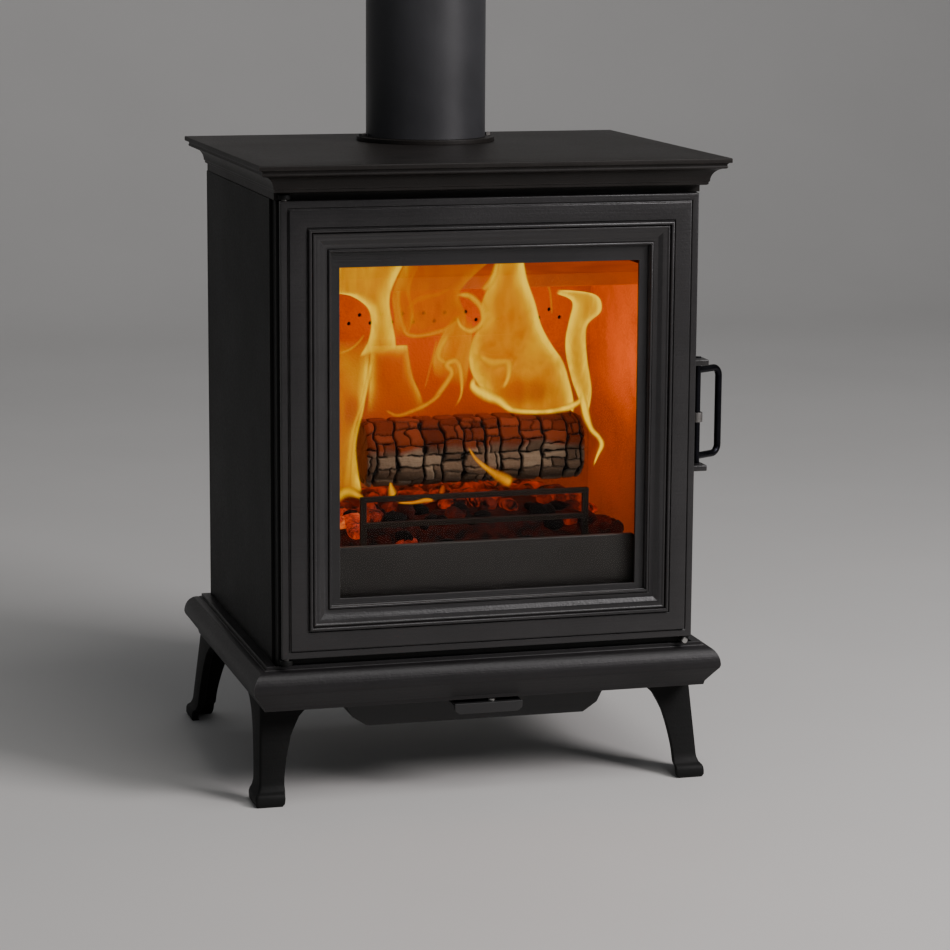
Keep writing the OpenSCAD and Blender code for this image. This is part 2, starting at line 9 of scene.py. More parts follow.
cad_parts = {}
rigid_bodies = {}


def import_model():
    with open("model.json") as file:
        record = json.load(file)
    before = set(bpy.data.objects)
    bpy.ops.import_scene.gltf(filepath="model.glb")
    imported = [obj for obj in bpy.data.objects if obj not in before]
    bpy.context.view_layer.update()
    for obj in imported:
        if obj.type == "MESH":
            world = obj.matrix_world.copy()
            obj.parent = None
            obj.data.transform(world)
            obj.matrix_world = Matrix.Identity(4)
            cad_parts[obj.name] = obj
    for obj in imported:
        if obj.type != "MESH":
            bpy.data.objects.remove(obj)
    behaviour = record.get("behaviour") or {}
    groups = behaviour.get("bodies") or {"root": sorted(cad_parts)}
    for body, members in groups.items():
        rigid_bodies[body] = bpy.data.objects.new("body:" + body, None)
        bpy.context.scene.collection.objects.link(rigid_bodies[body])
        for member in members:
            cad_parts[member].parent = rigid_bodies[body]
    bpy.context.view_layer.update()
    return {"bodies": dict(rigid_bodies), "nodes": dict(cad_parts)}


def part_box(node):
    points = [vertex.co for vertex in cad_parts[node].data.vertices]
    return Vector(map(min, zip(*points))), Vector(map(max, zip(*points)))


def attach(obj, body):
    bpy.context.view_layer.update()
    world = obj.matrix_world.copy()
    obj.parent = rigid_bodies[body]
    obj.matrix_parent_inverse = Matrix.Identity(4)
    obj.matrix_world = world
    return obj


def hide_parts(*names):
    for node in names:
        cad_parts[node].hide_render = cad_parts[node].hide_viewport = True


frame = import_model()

NODES = frame["nodes"]
MM = 0.001


def cosd(angle):
    return math.cos(math.radians(angle))


def sind(angle):
    return math.sin(math.radians(angle))


def place_in_scene(thing):
    bpy.context.scene.collection.objects.link(thing)


# ---------------------------------------------------------------- camera
def set_camera():
    place = Vector((-0.8606, -3.2083, 0.9150))
    yaw, pitch, roll = 0.2730, 0.1822, 0.0060
    forward = Vector((math.sin(yaw) * math.cos(pitch), math.cos(yaw) * math.cos(pitch),
                      -math.sin(pitch)))
    right = Vector((math.cos(yaw), -math.sin(yaw), 0))
    up = right.cross(forward)
    turned_right = right * math.cos(roll) + up * math.sin(roll)
    turned_up = up * math.cos(roll) - right * math.sin(roll)
    data = bpy.data.cameras.new("camera")
    data.sensor_width = 36
    data.lens = 119.2
    data.clip_end = 60
    camera = bpy.data.objects.new("camera", data)
    turn = Matrix((turned_right, turned_up, -forward)).transposed()
    camera.matrix_world = Matrix.Translation(place) @ turn.to_4x4()
    place_in_scene(camera)
    bpy.context.scene.camera = camera


# ---------------------------------------------------------------- materials
class Shader:
    """A node material, built by short calls. An input is a number, a colour or another node's output."""

    def __init__(self, name):
        self.material = bpy.data.materials.new(name)
        self.material.use_nodes = True
        self.tree = self.material.node_tree
        self.tree.nodes.clear()
        self.out = self.tree.nodes.new("ShaderNodeOutputMaterial")
        self.coord = self.node("ShaderNodeTexCoord").outputs["Object"]

    def node(self, kind, settings=(), **inputs):
        made = self.tree.nodes.new(kind)
        for key, value in dict(settings).items():
            setattr(made, key, value)
        for key, value in inputs.items():
            socket = made.inputs[int(key[1:])] if key[0] == "_" else made.inputs[key.replace("_", " ")]
            if isinstance(value, bpy.types.NodeSocket):
                self.tree.links.new(value, socket)
            else:
                socket.default_value = value
        return made

    def stretched(self, scale):
        return self.node("ShaderNodeMapping", Vector=self.coord, Scale=scale).outputs[0]

    def noise(self, scale, detail=3.0, rough=0.55, vector=None, distortion=0.0):
        return self.node("ShaderNodeTexNoise", Vector=vector or self.coord, Scale=scale,
                         Detail=detail, Roughness=rough, Distortion=distortion).outputs["Fac"]

    def ramp(self, fac, stops):
        made = self.node("ShaderNodeValToRGB", Fac=fac)
        ramp = made.color_ramp
        while len(ramp.elements) < len(stops):
            ramp.elements.new(0.5)
        for element, (at, colour) in zip(ramp.elements, stops):
            element.position = at
            if isinstance(colour, (int, float)):
                colour = (colour,) * 3
            element.color = (*colour, 1)
        return made.outputs[0]

    def mix(self, fac, a, b):
        made = self.node("ShaderNodeMix", {"data_type": "RGBA", "blend_type": "MIX"})
        for socket, value in ((made.inputs[0], fac), (made.inputs[6], a), (made.inputs[7], b)):
            if isinstance(value, bpy.types.NodeSocket):
                self.tree.links.new(value, socket)
            else:
                socket.default_value = (*value, 1) if isinstance(value, tuple) else value
        return made.outputs[2]

    def attribute(self, name):
        return self.node("ShaderNodeAttribute", {"attribute_name": name}).outputs["Fac"]

    def spread(self, value, low, high):
        return self.node("ShaderNodeMapRange", Value=value, _1=0.3, _2=0.7, _3=low, _4=high).outputs[0]

    def math(self, operation, a, b=0.5, c=0.5):
        return self.node("ShaderNodeMath", {"operation": operation}, _0=a, _1=b, _2=c).outputs[0]

    def bump(self, height, distance, strength):
        return self.node("ShaderNodeBump", Height=height, Distance=distance, Strength=strength).outputs[0]

    def finish(self, shader):
        self.tree.links.new(shader, self.out.inputs["Surface"])
        return self.material


# A painted highlight: the lighter grey laid on the paint's arrises
ARRIS_HIGHLIGHT = (0.09, 0.085, 0.08)


def cast_paint(name, dark, light, rough, grain, streak=0.0, shine_level=0.5):
    """Satin stove paint over cast iron: a fine sand-cast grain, faint brush lines and a painted highlight on
    the arrises.
    """
    s = Shader(name)
    blotch = s.noise(7.0, 4.0, 0.6)
    speck = s.noise(420.0, 2.0, 0.6)
    lines = s.noise(1.0, 3.0, 0.6, s.stretched((7, 60, 520)))
    tone = s.mix(0.30, blotch, lines)
    colour = s.ramp(tone, ((0.30, dark), (0.70, light)))
    # Painted highlight: a lighter colour wherever the rounded normal bends away from the face, on every arris
    edge = s.node("ShaderNodeBevel", {"samples": 4}, Radius=0.0011).outputs[0]
    flat = s.node("ShaderNodeNewGeometry").outputs["Normal"]
    bend = s.node("ShaderNodeVectorMath", {"operation": "DOT_PRODUCT"}, _0=edge, _1=flat)
    arris_highlight = s.ramp(bend.outputs["Value"], ((0.86, 1.0), (0.985, 0.0)))
    arris_highlight = s.math("MULTIPLY", arris_highlight, s.ramp(s.noise(38.0, 3.0), ((0.36, 0.15), (0.66, 1.0))))
    colour = s.mix(s.math("MULTIPLY", arris_highlight, 0.55), colour, ARRIS_HIGHLIGHT)
    height = s.math("ADD", s.math("MULTIPLY", speck, 1.0),
                    s.math("MULTIPLY", s.noise(150.0, 3.0), 0.9))
    height = s.math("ADD", height, s.math("MULTIPLY", lines, streak))
    shine = s.spread(s.mix(0.5, blotch, speck), *rough)
    surface = s.node("ShaderNodeBsdfPrincipled", Base_Color=colour, Roughness=shine,
                     Normal=s.bump(height, grain, 0.55))
    surface.inputs["Specular IOR Level"].default_value = shine_level
    return s.finish(surface.outputs[0])


def bare_metal(name, colour, rough, scratch=(4, 4, 900)):
    s = Shader(name)
    lines = s.noise(1.0, 3.0, 0.6, s.stretched(scratch))
    stain = s.noise(55.0, 4.0, 0.6)
    low = tuple(c * 0.55 for c in colour)
    tint = s.ramp(s.mix(0.5, lines, stain), ((0.3, low), (0.65, colour)))
    shine = s.spread(stain, rough - 0.08, rough + 0.12)
    surface = s.node("ShaderNodeBsdfPrincipled", Base_Color=tint, Roughness=shine, Metallic=1.0,
                     Normal=s.bump(lines, 0.00006, 0.5))
    return s.finish(surface.outputs[0])


def flue_enamel():
    s = Shader("flue_enamel")
    blotch = s.noise(9.0, 4.0, 0.55)
    speck = s.noise(900.0, 2.0, 0.6)
    colour = s.ramp(s.mix(0.25, blotch, speck), ((0.3, (0.022, 0.022, 0.024)), (0.7, (0.040, 0.040, 0.044))))
    shine = s.spread(blotch, 0.40, 0.50)
    surface = s.node("ShaderNodeBsdfPrincipled", Base_Color=colour, Roughness=shine,
                     Normal=s.bump(speck, 0.00012, 0.35))
    return s.finish(surface.outputs[0])


def smoked_glass():
    """Clear ceramic glass with a thin, blotchy film of smoke."""
    s = Shader("door_glass")
    gloss = s.node("ShaderNodeBsdfGlossy", Color=(0.9, 0.9, 0.9, 1), Roughness=0.03)
    clear = s.node("ShaderNodeBsdfTransparent", Color=(0.95, 0.94, 0.92, 1))
    edge = s.node("ShaderNodeFresnel", IOR=1.38).outputs[0]
    pane = s.node("ShaderNodeMixShader", _0=s.math("MULTIPLY", edge, 0.14), _1=clear.outputs[0],
                  _2=gloss.outputs[0])
    soot = s.node("ShaderNodeBsdfDiffuse", Color=(0.02, 0.014, 0.010, 1))
    film = s.ramp(s.noise(11.0, 5.0, 0.62), ((0.5, 0.0), (0.9, 0.10)))
    return s.finish(s.node("ShaderNodeMixShader", _0=film, _1=pane.outputs[0],
                           _2=soot.outputs[0]).outputs[0])


def fire_brick(name, dark, light, glow):
    """Heat-stained vermiculite board: pressed flakes and soot blooms, with painted firelight as its glow,
    dimmer near the bottom as painted shade.
    """
    s = Shader(name)
    flake = s.node("ShaderNodeTexVoronoi", Vector=s.coord, Scale=420.0).outputs["Distance"]
    soot_and_firelight_bloom = s.noise(9.0, 5.0, 0.6, distortion=0.4)
    tone = s.mix(0.22, soot_and_firelight_bloom, flake)
    colour = s.ramp(tone, ((0.24, dark), (0.52, light)))
    height = s.math("ADD", s.math("MULTIPLY", flake, 0.8), s.noise(60.0, 4.0))
    # Painted firelight: the board's emission stands in for the fire's light, and it fades towards the bottom
    # as painted shade
    level = s.node("ShaderNodeSeparateXYZ", Vector=s.coord).outputs["Z"]
    rise = s.node("ShaderNodeMapRange", {"interpolation_type": "SMOOTHSTEP"}, Value=level, _1=0.33, _2=0.45,
                  _3=0.30, _4=1.0).outputs[0]
    surface = s.node("ShaderNodeBsdfPrincipled", Base_Color=colour, Roughness=0.93,
                     Normal=s.bump(height, 0.0006, 0.6), Emission_Color=s.mix(rise, (0.0, 0.0, 0.0), s.ramp(
                         soot_and_firelight_bloom, ((0.3, (0.55, 0.050, 0.0)), (0.7, (1.0, 0.125, 0.0))))))
    surface.inputs["Emission Strength"].default_value = glow
    return s.finish(surface.outputs[0])


def charred_log():
    """Chequered char: grey ash blocks below, red heat above, black cracks between them."""
    s = Shader("charred_log")
    crack = s.attribute("crack")
    heat = s.attribute("glow")
    tone = s.attribute("tone")
    grain = s.noise(1.0, 4.0, 0.65, s.stretched((60, 900, 900)))
    ash = s.ramp(s.mix(0.5, tone, grain), ((0.2, (0.085, 0.050, 0.030)), (0.5, (0.20, 0.125, 0.078)),
                                           (0.8, (0.34, 0.245, 0.165))))
    red = s.ramp(s.mix(0.5, tone, grain), ((0.25, (0.075, 0.013, 0.005)), (0.8, (0.20, 0.042, 0.015))))
    colour = s.mix(heat, ash, red)
    colour = s.mix(crack, colour, (0.006, 0.004, 0.003))
    cell = s.noise(30.0, 3.0)
    lit = s.math("MULTIPLY", s.math("MULTIPLY", heat, s.math("SUBTRACT", 1.0, crack)),
                 s.ramp(cell, ((0.35, 0.25), (0.7, 1.0))))
    height = s.math("ADD", grain, s.noise(260.0, 3.0))
    surface = s.node("ShaderNodeBsdfPrincipled", Base_Color=colour, Roughness=0.9,
                     Normal=s.bump(height, 0.0007, 0.7),
                     Emission_Color=s.mix(lit, (0.0, 0.0, 0.0), (0.085, 0.0095, 0.0)))
    surface.inputs["Emission Strength"].default_value = 1.0
    surface.inputs["Specular IOR Level"].default_value = 0.08
    return s.finish(surface.outputs[0])


def glowing_coal():
    s = Shader("glowing_coal")
    crust = s.noise(75.0, 5.0, 0.65, distortion=0.6)
    heat = s.attribute("glow")
    glow = s.math("MULTIPLY", s.ramp(crust, ((0.40, 0.0), (0.56, 0.6), (0.72, 1.0))), heat)
    ash = s.ramp(crust, ((0.35, (0.012, 0.010, 0.009)), (0.55, (0.08, 0.065, 0.055)),
                         (0.75, (0.24, 0.20, 0.18))))
    # Low glow values also darken the colour to near black: painted shade on the coals at the front of the
    # mound, under the rails
    colour = s.mix(s.math("MULTIPLY", heat, 0.8), (0.008, 0.007, 0.007), ash)
    light = s.ramp(glow, ((0.0, (0.0, 0.0, 0.0)), (0.35, (0.55, 0.03, 0.002)),
                          (0.75, (1.0, 0.22, 0.02)), (1.0, (1.0, 0.55, 0.12))))
    surface = s.node("ShaderNodeBsdfPrincipled", Base_Color=colour, Roughness=0.95,
                     Normal=s.bump(crust, 0.0012, 0.8), Emission_Color=light)
    surface.inputs["Emission Strength"].default_value = 0.85
    surface.inputs["Specular IOR Level"].default_value = 0.1
    return s.finish(surface.outputs[0])


def flame_material():
    """Burning gas: the fold sets how bright and yellow a sheet is, the veil how much of it shows."""
    s = Shader("flame_gas")
    fold = s.attribute("fold")
    veil = s.attribute("veil")
    wisp = s.noise(1.0, 3.0, 0.5, s.stretched((24, 24, 10)), distortion=1.2)
    fine = s.noise(1.0, 2.0, 0.5, s.stretched((95, 95, 26)), distortion=1.6)
    drift = s.math("SUBTRACT", s.mix(0.35, wisp, fine), 0.5)
    heat = s.math("MULTIPLY_ADD", drift, 0.75, fold)
    colour = s.ramp(heat, ((0.0, (0.28, 0.030, 0.0)), (0.25, (0.47, 0.115, 0.0)), (0.5, (0.56, 0.225, 0.0)),
                           (0.75, (0.68, 0.36, 0.0)), (1.0, (0.98, 0.62, 0.012))))
    dense = s.math("MULTIPLY", veil, s.math("MULTIPLY_ADD", drift, 1.1, 1.0))
    dense = s.math("MAXIMUM", s.math("MINIMUM", dense, 0.97), 0.0)
    light = s.node("ShaderNodeEmission", Color=colour, Strength=1.5)
    clear = s.node("ShaderNodeBsdfTransparent")
    return s.finish(s.node("ShaderNodeMixShader", _0=dense, _1=clear.outputs[0],
                           _2=light.outputs[0]).outputs[0])


def woven_rope():
    s = Shader("woven_rope")
    fibre = s.noise(1500.0, 3.0, 0.6)
    stain = s.noise(24.0, 4.0)
    colour = s.ramp(s.mix(0.5, fibre, stain), ((0.3, (0.10, 0.095, 0.085)), (0.7, (0.42, 0.40, 0.35))))
    surface = s.node("ShaderNodeBsdfPrincipled", Base_Color=colour, Roughness=0.95,
                     Normal=s.bump(fibre, 0.0003, 0.8))
    surface.inputs["Sheen Weight"].default_value = 0.4
    return s.finish(surface.outputs[0])


# ---------------------------------------------------------------- meshes
def new_piece(name, mesh, material, body="stove", smooth_angle=32):
    piece = bpy.data.objects.new(name, mesh)
    place_in_scene(piece)
    mesh.materials.append(material)
    for polygon in mesh.polygons:
        polygon.use_smooth = True
    if smooth_angle:
        mark_sharp(mesh, math.radians(smooth_angle))
    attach(piece, body)
    return piece


def mark_sharp(mesh, angle):
    bm = bmesh.new()
    bm.from_mesh(mesh)
    for edge in bm.edges:
        faces = edge.link_faces
        edge.smooth = len(faces) == 2 and faces[0].normal.angle(faces[1].normal, 0) < angle
    bm.to_mesh(mesh)
    bm.free()


def plain_mesh(name, points, faces, **values):
    """A mesh from points in millimetres, with an attribute for each named list of values."""
    mesh = bpy.data.meshes.new(name)
    mesh.from_pydata([tuple(c * MM for c in p) for p in points], [], faces)
    for key, numbers in values.items():
        mesh.attributes.new(key, "FLOAT", "POINT").data.foreach_set("value", numbers)
    return mesh


def clean(mesh, distance):
    """Joins points that meet and turns all faces outward."""
    bm = bmesh.new()
    bm.from_mesh(mesh)
    bmesh.ops.remove_doubles(bm, verts=bm.verts, dist=distance)
    bmesh.ops.recalc_face_normals(bm, faces=bm.faces)
    bm.to_mesh(mesh)
    bm.free()
    return mesh


def make_mesh(name, points, faces):
    return clean(plain_mesh(name, points, faces), 1e-6)


def grid_faces(columns, rows):
    """The squares between points that are laid out row by row."""
    w = columns + 1
    return [(j * w + i, j * w + i + 1, (j + 1) * w + i + 1, (j + 1) * w + i)
            for j in range(rows) for i in range(columns)]


def rounded(section, steps=4):
    """Rounds the corners of a closed section of (anchor, out, depth, radius) rows."""
    made = []
    n = len(section)
    for k, (anchor, p, q, radius) in enumerate(section):
        if not radius:
            made.append((anchor, p, q))
            continue
        here = Vector((nominal(anchor) + p, q))
        ways = []
        for other in (section[k - 1], section[(k + 1) % n]):
            there = Vector((nominal(other[0]) + other[1], other[2]))
            ways.append((there - here, (there - here).length))
        bend = ways[0][0].angle(ways[1][0])
        cut = min(radius / math.tan(bend / 2), 0.45 * ways[0][1], 0.45 * ways[1][1])
        start = here + ways[0][0].normalized() * cut
        end = here + ways[1][0].normalized() * cut
        for i in range(steps + 1):
            t = i / steps
            point = start * (1 - t) ** 2 + here * 2 * t * (1 - t) + end * t * t
            made.append((anchor, point.x - nominal(anchor), point.y))
    return made


def nominal(anchor):
    """How far an anchor rectangle stands outside the innermost one, to measure a section's corners."""
    return anchor[4]


def sweep(section, place):
    """Carries a closed section round its anchor rectangles; place makes (across, along, depth) a point."""
    n = len(section)
    points = []
    for sx, sy in ((0, 2), (1, 2), (1, 3), (0, 3)):
        for anchor, out, depth in section:
            across = anchor[sx] + (out if sx else -out)
            along = anchor[sy] + (out if sy == 3 else -out)
            points.append(place(across, along, depth))
    faces = [(c * n + j, (c + 1) % 4 * n + j, (c + 1) % 4 * n + (j + 1) % n, c * n + (j + 1) % n)
             for c in range(4) for j in range(n)]
    return points, faces


def join(*parts):
    points, faces = [], []
    for new_points, new_faces in parts:
        at = len(points)
        points += new_points
        faces += [tuple(i + at for i in f) for f in new_faces]
    return points, faces


def soft_block(low, high, r):
    """A block whose twelve edges are rounded, as points and faces."""
    bm = bmesh.new()
    bmesh.ops.create_cube(bm, size=1)
    size = [h - l for l, h in zip(low, high)]
    middle = [(h + l) / 2 for l, h in zip(low, high)]
    for v in bm.verts:
        v.co = Vector([c * s + m for c, s, m in zip(v.co, size, middle)])
    bmesh.ops.bevel(bm, geom=list(bm.edges), offset=min(r, *(0.3 * s for s in size)), segments=3,
                    affect="EDGES", profile=0.5)
    bm.verts.index_update()
    made = [tuple(v.co) for v in bm.verts], [tuple(v.index for v in f.verts) for f in bm.faces]
    bm.free()
    return made


def upright(across, along, depth):
    return across, DOOR_Y + depth, along


def level(across, along, depth):
    return across, along, depth


def span(node):
    low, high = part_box(node)
    return [c / MM for c in low], [c / MM for c in high]


# Door, from the box of its CAD casting and glass
door_low, door_high = span("door_casting")
glass_low, glass_high = span("door_glass")
DOOR_Y = glass_low[1] - 13.6
DOOR_HALF = -door_low[0]
BORDER = 8
# Depths behind the door's front plane: the window's lip, the casting's back and the handle's spindle
LIP, BACK, SPINDLE = 9.2, 12.5, 22
WINDOW = (glass_low[0] + BORDER, glass_high[0] - BORDER, glass_low[2] + BORDER,
          glass_high[2] - BORDER, 0)
INNER = (WINDOW[0] - 10.5, WINDOW[1] + 10.5, WINDOW[2] - 6.5, WINDOW[3] + 16.5, 10.5)
OUTER = (-DOOR_HALF, DOOR_HALF, door_low[2], door_high[2], 61)


def door_section():
    ogee = [(INNER, 3.4 + 12.6 * a / 180, 1.6 + 2.1 * cosd(a), 0)
            for a in range(0, 181, 9)]
    bead = [(INNER, 21.6 - 1.7 * cosd(a), -1.6 - 1.7 * sind(a), 0)
            for a in range(0, 181, 15)]
    inner_bead = [(INNER, 1.2 - 1.3 * cosd(a), 3.2 - 1.3 * sind(a), 0)
                  for a in range(0, 181, 20)]
    return rounded([
        (OUTER, 0, 9.4, 0.6), (OUTER, 0, 2.5, 1.1), (OUTER, -6.4, 2.5, 0.8), (OUTER, -7.4, 3.6, 0.5),
        (OUTER, -8.5, 3.2, 0.4), (OUTER, -8.5, 0, 1.1),
        (INNER, 25.0, 0, 0.7), (INNER, 24.6, 1.9, 0), (INNER, 23.5, 1.9, 0)]
        + bead[::-1] + [(INNER, 19.4, 0.4, 0), (INNER, 18.8, -0.4, 0.2), (INNER, 18.4, -1.2, 0.3),
                        (INNER, 17.4, -1.4, 0.3), (INNER, 16.6, -0.9, 0)] + ogee[::-1]
        + [(INNER, 2.7, 4.4, 0)] + inner_bead[::-1] + [(INNER, -0.2, 4.8, 0), (INNER, -0.9, 5.4, 0.3),
        (INNER, -1.6, 8.0, 0.3), (INNER, -1.6, LIP, 0.2), (WINDOW, 0, LIP, 0.8), (WINDOW, 0, BACK, 0.2),
        (WINDOW, 9.5, BACK, 0), (WINDOW, 9.5, 17.6, 0.4), (WINDOW, 16, 17.6, 0.8),
        (WINDOW, 16, BACK, 0.3), (WINDOW, 22.6, BACK, 0.4), (WINDOW, 22.6, 7.5, 0),
        (WINDOW, 29.2, 7.5, 0), (WINDOW, 29.2, BACK, 0.4), (OUTER, -3.6, BACK, 0.6)])


def door_lugs():
    """The two ears on the door's edge that carry the handle's spindle."""
    spindle_low, spindle_high = span("handle_loop")
    x = spindle_low[0] + 3.6
    y = DOOR_Y + SPINDLE
    parts = []
    for z in (spindle_low[2] + 1, spindle_high[2] - 7):
        parts.append(soft_block((DOOR_HALF - 4, DOOR_Y + 4, z), (x + 6, DOOR_Y + 12.5, z + 6), 0.9))
        parts.append(soft_block((DOOR_HALF + 2.7, DOOR_Y + 11, z), (x + 6, y + 5.5, z + 6), 0.9))
    return parts


def make_door(material):
    points, faces = join(sweep(door_section(), upright), *door_lugs())
    piece = new_piece("door_cast", make_mesh("door_cast", points, faces), material, "door")
    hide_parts("door_casting")


# Top plate and plinth, from the side panels' and the front frame's boxes
side_low, side_high = span("right_side_panel")
frame_low, frame_high = span("front_frame")
HALF = side_high[0]
PANEL_TOP = side_high[2]
FRONT_Y = frame_low[1]
BACK_Y = span("back_panel")[1][1]
BASE_Z = span("base_plate")[0][2]
NECK_TALL, TOP_UNDER, TOP_TALL = 8, 26, 36.4
FLUE_HOLE = 57
PLINTH_TALL = 46


def make_top(material):
    """The moulded plate on a neck that is nearly flush with the panels, so that no firelight shows."""
    rim = (-HALF, HALF, FRONT_Y - 15.5, BACK_Y - 6, 40)
    neck = (0.8 - HALF, HALF - 0.8, FRONT_Y, BACK_Y - 0.8, 39.2)
    pocket = (15 - HALF, HALF - 15, FRONT_Y + 12, BACK_Y - 20, 20)
    z = PANEL_TOP
    cove = [(rim, 3.5 + 12.5 * (1 - cosd(a)), z + 12 + 13.5 * sind(a), 0)
            for a in range(0, 91, 6)]
    section = rounded([
        (neck, 0, z, 0.3), (neck, 0, z + NECK_TALL, 0), (rim, 0.5, z + NECK_TALL, 0.4),
        (rim, 2.4, z + 9, 0.6),
        (rim, 2.4, z + 11.2, 0.5)] + cove + [
        (rim, 17, z + TOP_UNDER, 0.3), (rim, 17.6, z + 27.2, 0.4), (rim, 17, z + 28.4, 0.3),
        (rim, 17, z + 30, 0.3),
        (rim, 18.6, z + 31.4, 0.5), (rim, 21, z + 31.6, 0.7), (rim, 21, z + TOP_TALL, 1.3),
        (pocket, 0, z + TOP_TALL, 0), (pocket, 0, z, 0)])
    top, under = z + TOP_TALL, z + TOP_UNDER
    flue_low, flue_high = span("flue_pipe")
    centre = ((flue_low[0] + flue_high[0]) / 2, (flue_low[1] + flue_high[1]) / 2)
    corners = [math.atan2(pocket[3 if j else 2] - centre[1], pocket[1 if i else 0] - centre[0])
               for i in (0, 1) for j in (0, 1)]
    turns = sorted([2 * math.pi * k / 96 - math.pi for k in range(96)] + corners)
    points, faces = [], []
    for a in turns:
        c, s = math.cos(a), math.sin(a)
        reach = min((pocket[1 if c > 0 else 0] - centre[0]) / c if abs(c) > 1e-9 else 1e9,
                    (pocket[3 if s > 0 else 2] - centre[1]) / s if abs(s) > 1e-9 else 1e9)
        for r, h in ((reach, top), (FLUE_HOLE + 0.8, top), (FLUE_HOLE, top - 0.8), (FLUE_HOLE, under),
                     (reach, under)):
            points.append((centre[0] + r * c, centre[1] + r * s, h))
    n = len(turns)
    for k in range(n):
        m = (k + 1) % n
        faces += [(5 * k + j, 5 * m + j, 5 * m + j + 1, 5 * k + j + 1) for j in range(4)]
    points, faces = join(sweep(section, level), (points, faces))
    piece = new_piece("top_cast", make_mesh("top_cast", points, faces), material)
    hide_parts("top_plate")


def make_plinth(material):
    skirt = (-HALF, HALF, FRONT_Y + 7, BACK_Y - 5, 10)
    body = (-HALF, HALF, FRONT_Y, BACK_Y, 10)
    z = BASE_Z
    bow = [(skirt, 11.5 + 14.5 * sind(a), z + 23 + 19 * cosd(a), 0)
           for a in range(0, 91, 6)]
    section = rounded([(body, 0, z, 0), (skirt, 12, z, 0.3), (skirt, 13, z + 4, 1.0),
                       (skirt, 20, z + 13.5, 2),
                       (skirt, 25, z + 20, 1.2)] + bow[::-1] + [
        (skirt, 11.2, z + 42.6, 0), (skirt, 9.4, z + 42.6, 0.2), (skirt, 9.4, z + PLINTH_TALL, 0.9),
        (body, 0, z + PLINTH_TALL, 0)])
    points, faces = sweep(section, level)
    piece = new_piece("plinth_cast", make_mesh("plinth_cast", points, faces), material)
    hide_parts("plinth")


# Height, flare of the foot, width of the front leaf, width of the side leaf
LEG_ROWS = ((0, 3.2, 27, 34), (2.5, 4.6, 30, 37), (8, 5, 31, 38), (12, 4.2, 30, 37), (15, 1.6, 28, 35),
            (22, 0, 26, 33), (45, 0, 28, 34), (70, 0, 33, 38), (88, 0, 41, 46), (97, 0, 50, 56),
            (102, 0, 60, 66), (104, 0, 66, 72))


def leg_rows():
    """The leg's rows with smooth steps put between them."""
    made = []
    for k in range(len(LEG_ROWS) - 1):
        p0, p1, p2, p3 = (LEG_ROWS[max(0, min(len(LEG_ROWS) - 1, k + d))] for d in (-1, 0, 1, 2))
        steps = 3 if p2[0] - p1[0] < 10 else 7
        for i in range(steps):
            t = i / steps
            row = []
            for a, b, c, d in zip(p0, p1, p2, p3):
                slope_b, slope_c = (c - a) / 2, (d - b) / 2
                if (b - a) * (c - b) <= 0:
                    slope_b = 0
                if (c - b) * (d - c) <= 0:
                    slope_c = 0
                slope_b = max(-abs(c - b) * 2, min(abs(c - b) * 2, slope_b))
                slope_c = max(-abs(c - b) * 2, min(abs(c - b) * 2, slope_c))
                h = (2 * t ** 3 - 3 * t * t + 1, t ** 3 - 2 * t * t + t, -2 * t ** 3 + 3 * t * t,
                     t ** 3 - t * t)
                row.append(h[0] * b + h[1] * slope_b + h[2] * c + h[3] * slope_c)
            row[0] = p1[0] + (p2[0] - p1[0]) * t
            made.append(row)
    return made + [list(LEG_ROWS[-1])]


def make_leg(node, sx, sy, material):
    leaf, top_x, lean_x = 8, HALF + 9, 6
    top_y, lean_y = (-152, 22) if sy < 0 else (-176, 34)
    rings = []
    for z, flare, a, b in leg_rows():
        k = (BASE_Z - z) / BASE_Z
        x = top_x + lean_x * k + flare
        y = top_y - lean_y * k - flare * 1.3
        corners = (((x - a, y), 1.2), ((x, y), 3.2), ((x, y + b), 1.2), ((x - leaf, y + b), 1.2),
                   ((x - leaf, y + leaf), 3), ((x - a, y + leaf), 1.2))
        ring = []
        for i, (here, r) in enumerate(corners):
            here = Vector(here)
            before = (Vector(corners[i - 1][0]) - here).normalized()
            after = (Vector(corners[(i + 1) % 6][0]) - here).normalized()
            for j in range(5):
                t = j / 4
                p = (here + before * r) * (1 - t) ** 2 + here * 2 * t * (1 - t) + (here + after * r) * t * t
                ring.append((p.x * sx, p.y * (1 if sy < 0 else -1), z))
        rings.append(ring)
    n = len(rings[0])
    points = [p for ring in rings for p in ring]
    faces = [(k * n + i, (k + 1) * n + i, (k + 1) * n + (i + 1) % n, k * n + (i + 1) % n)
             for k in range(len(rings) - 1) for i in range(n)]
    faces += [tuple(range(n)), tuple(range(len(points) - n, len(points)))]
    piece = new_piece(node + "_cast", make_mesh(node, points, faces), material, smooth_angle=50)
    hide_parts(node)


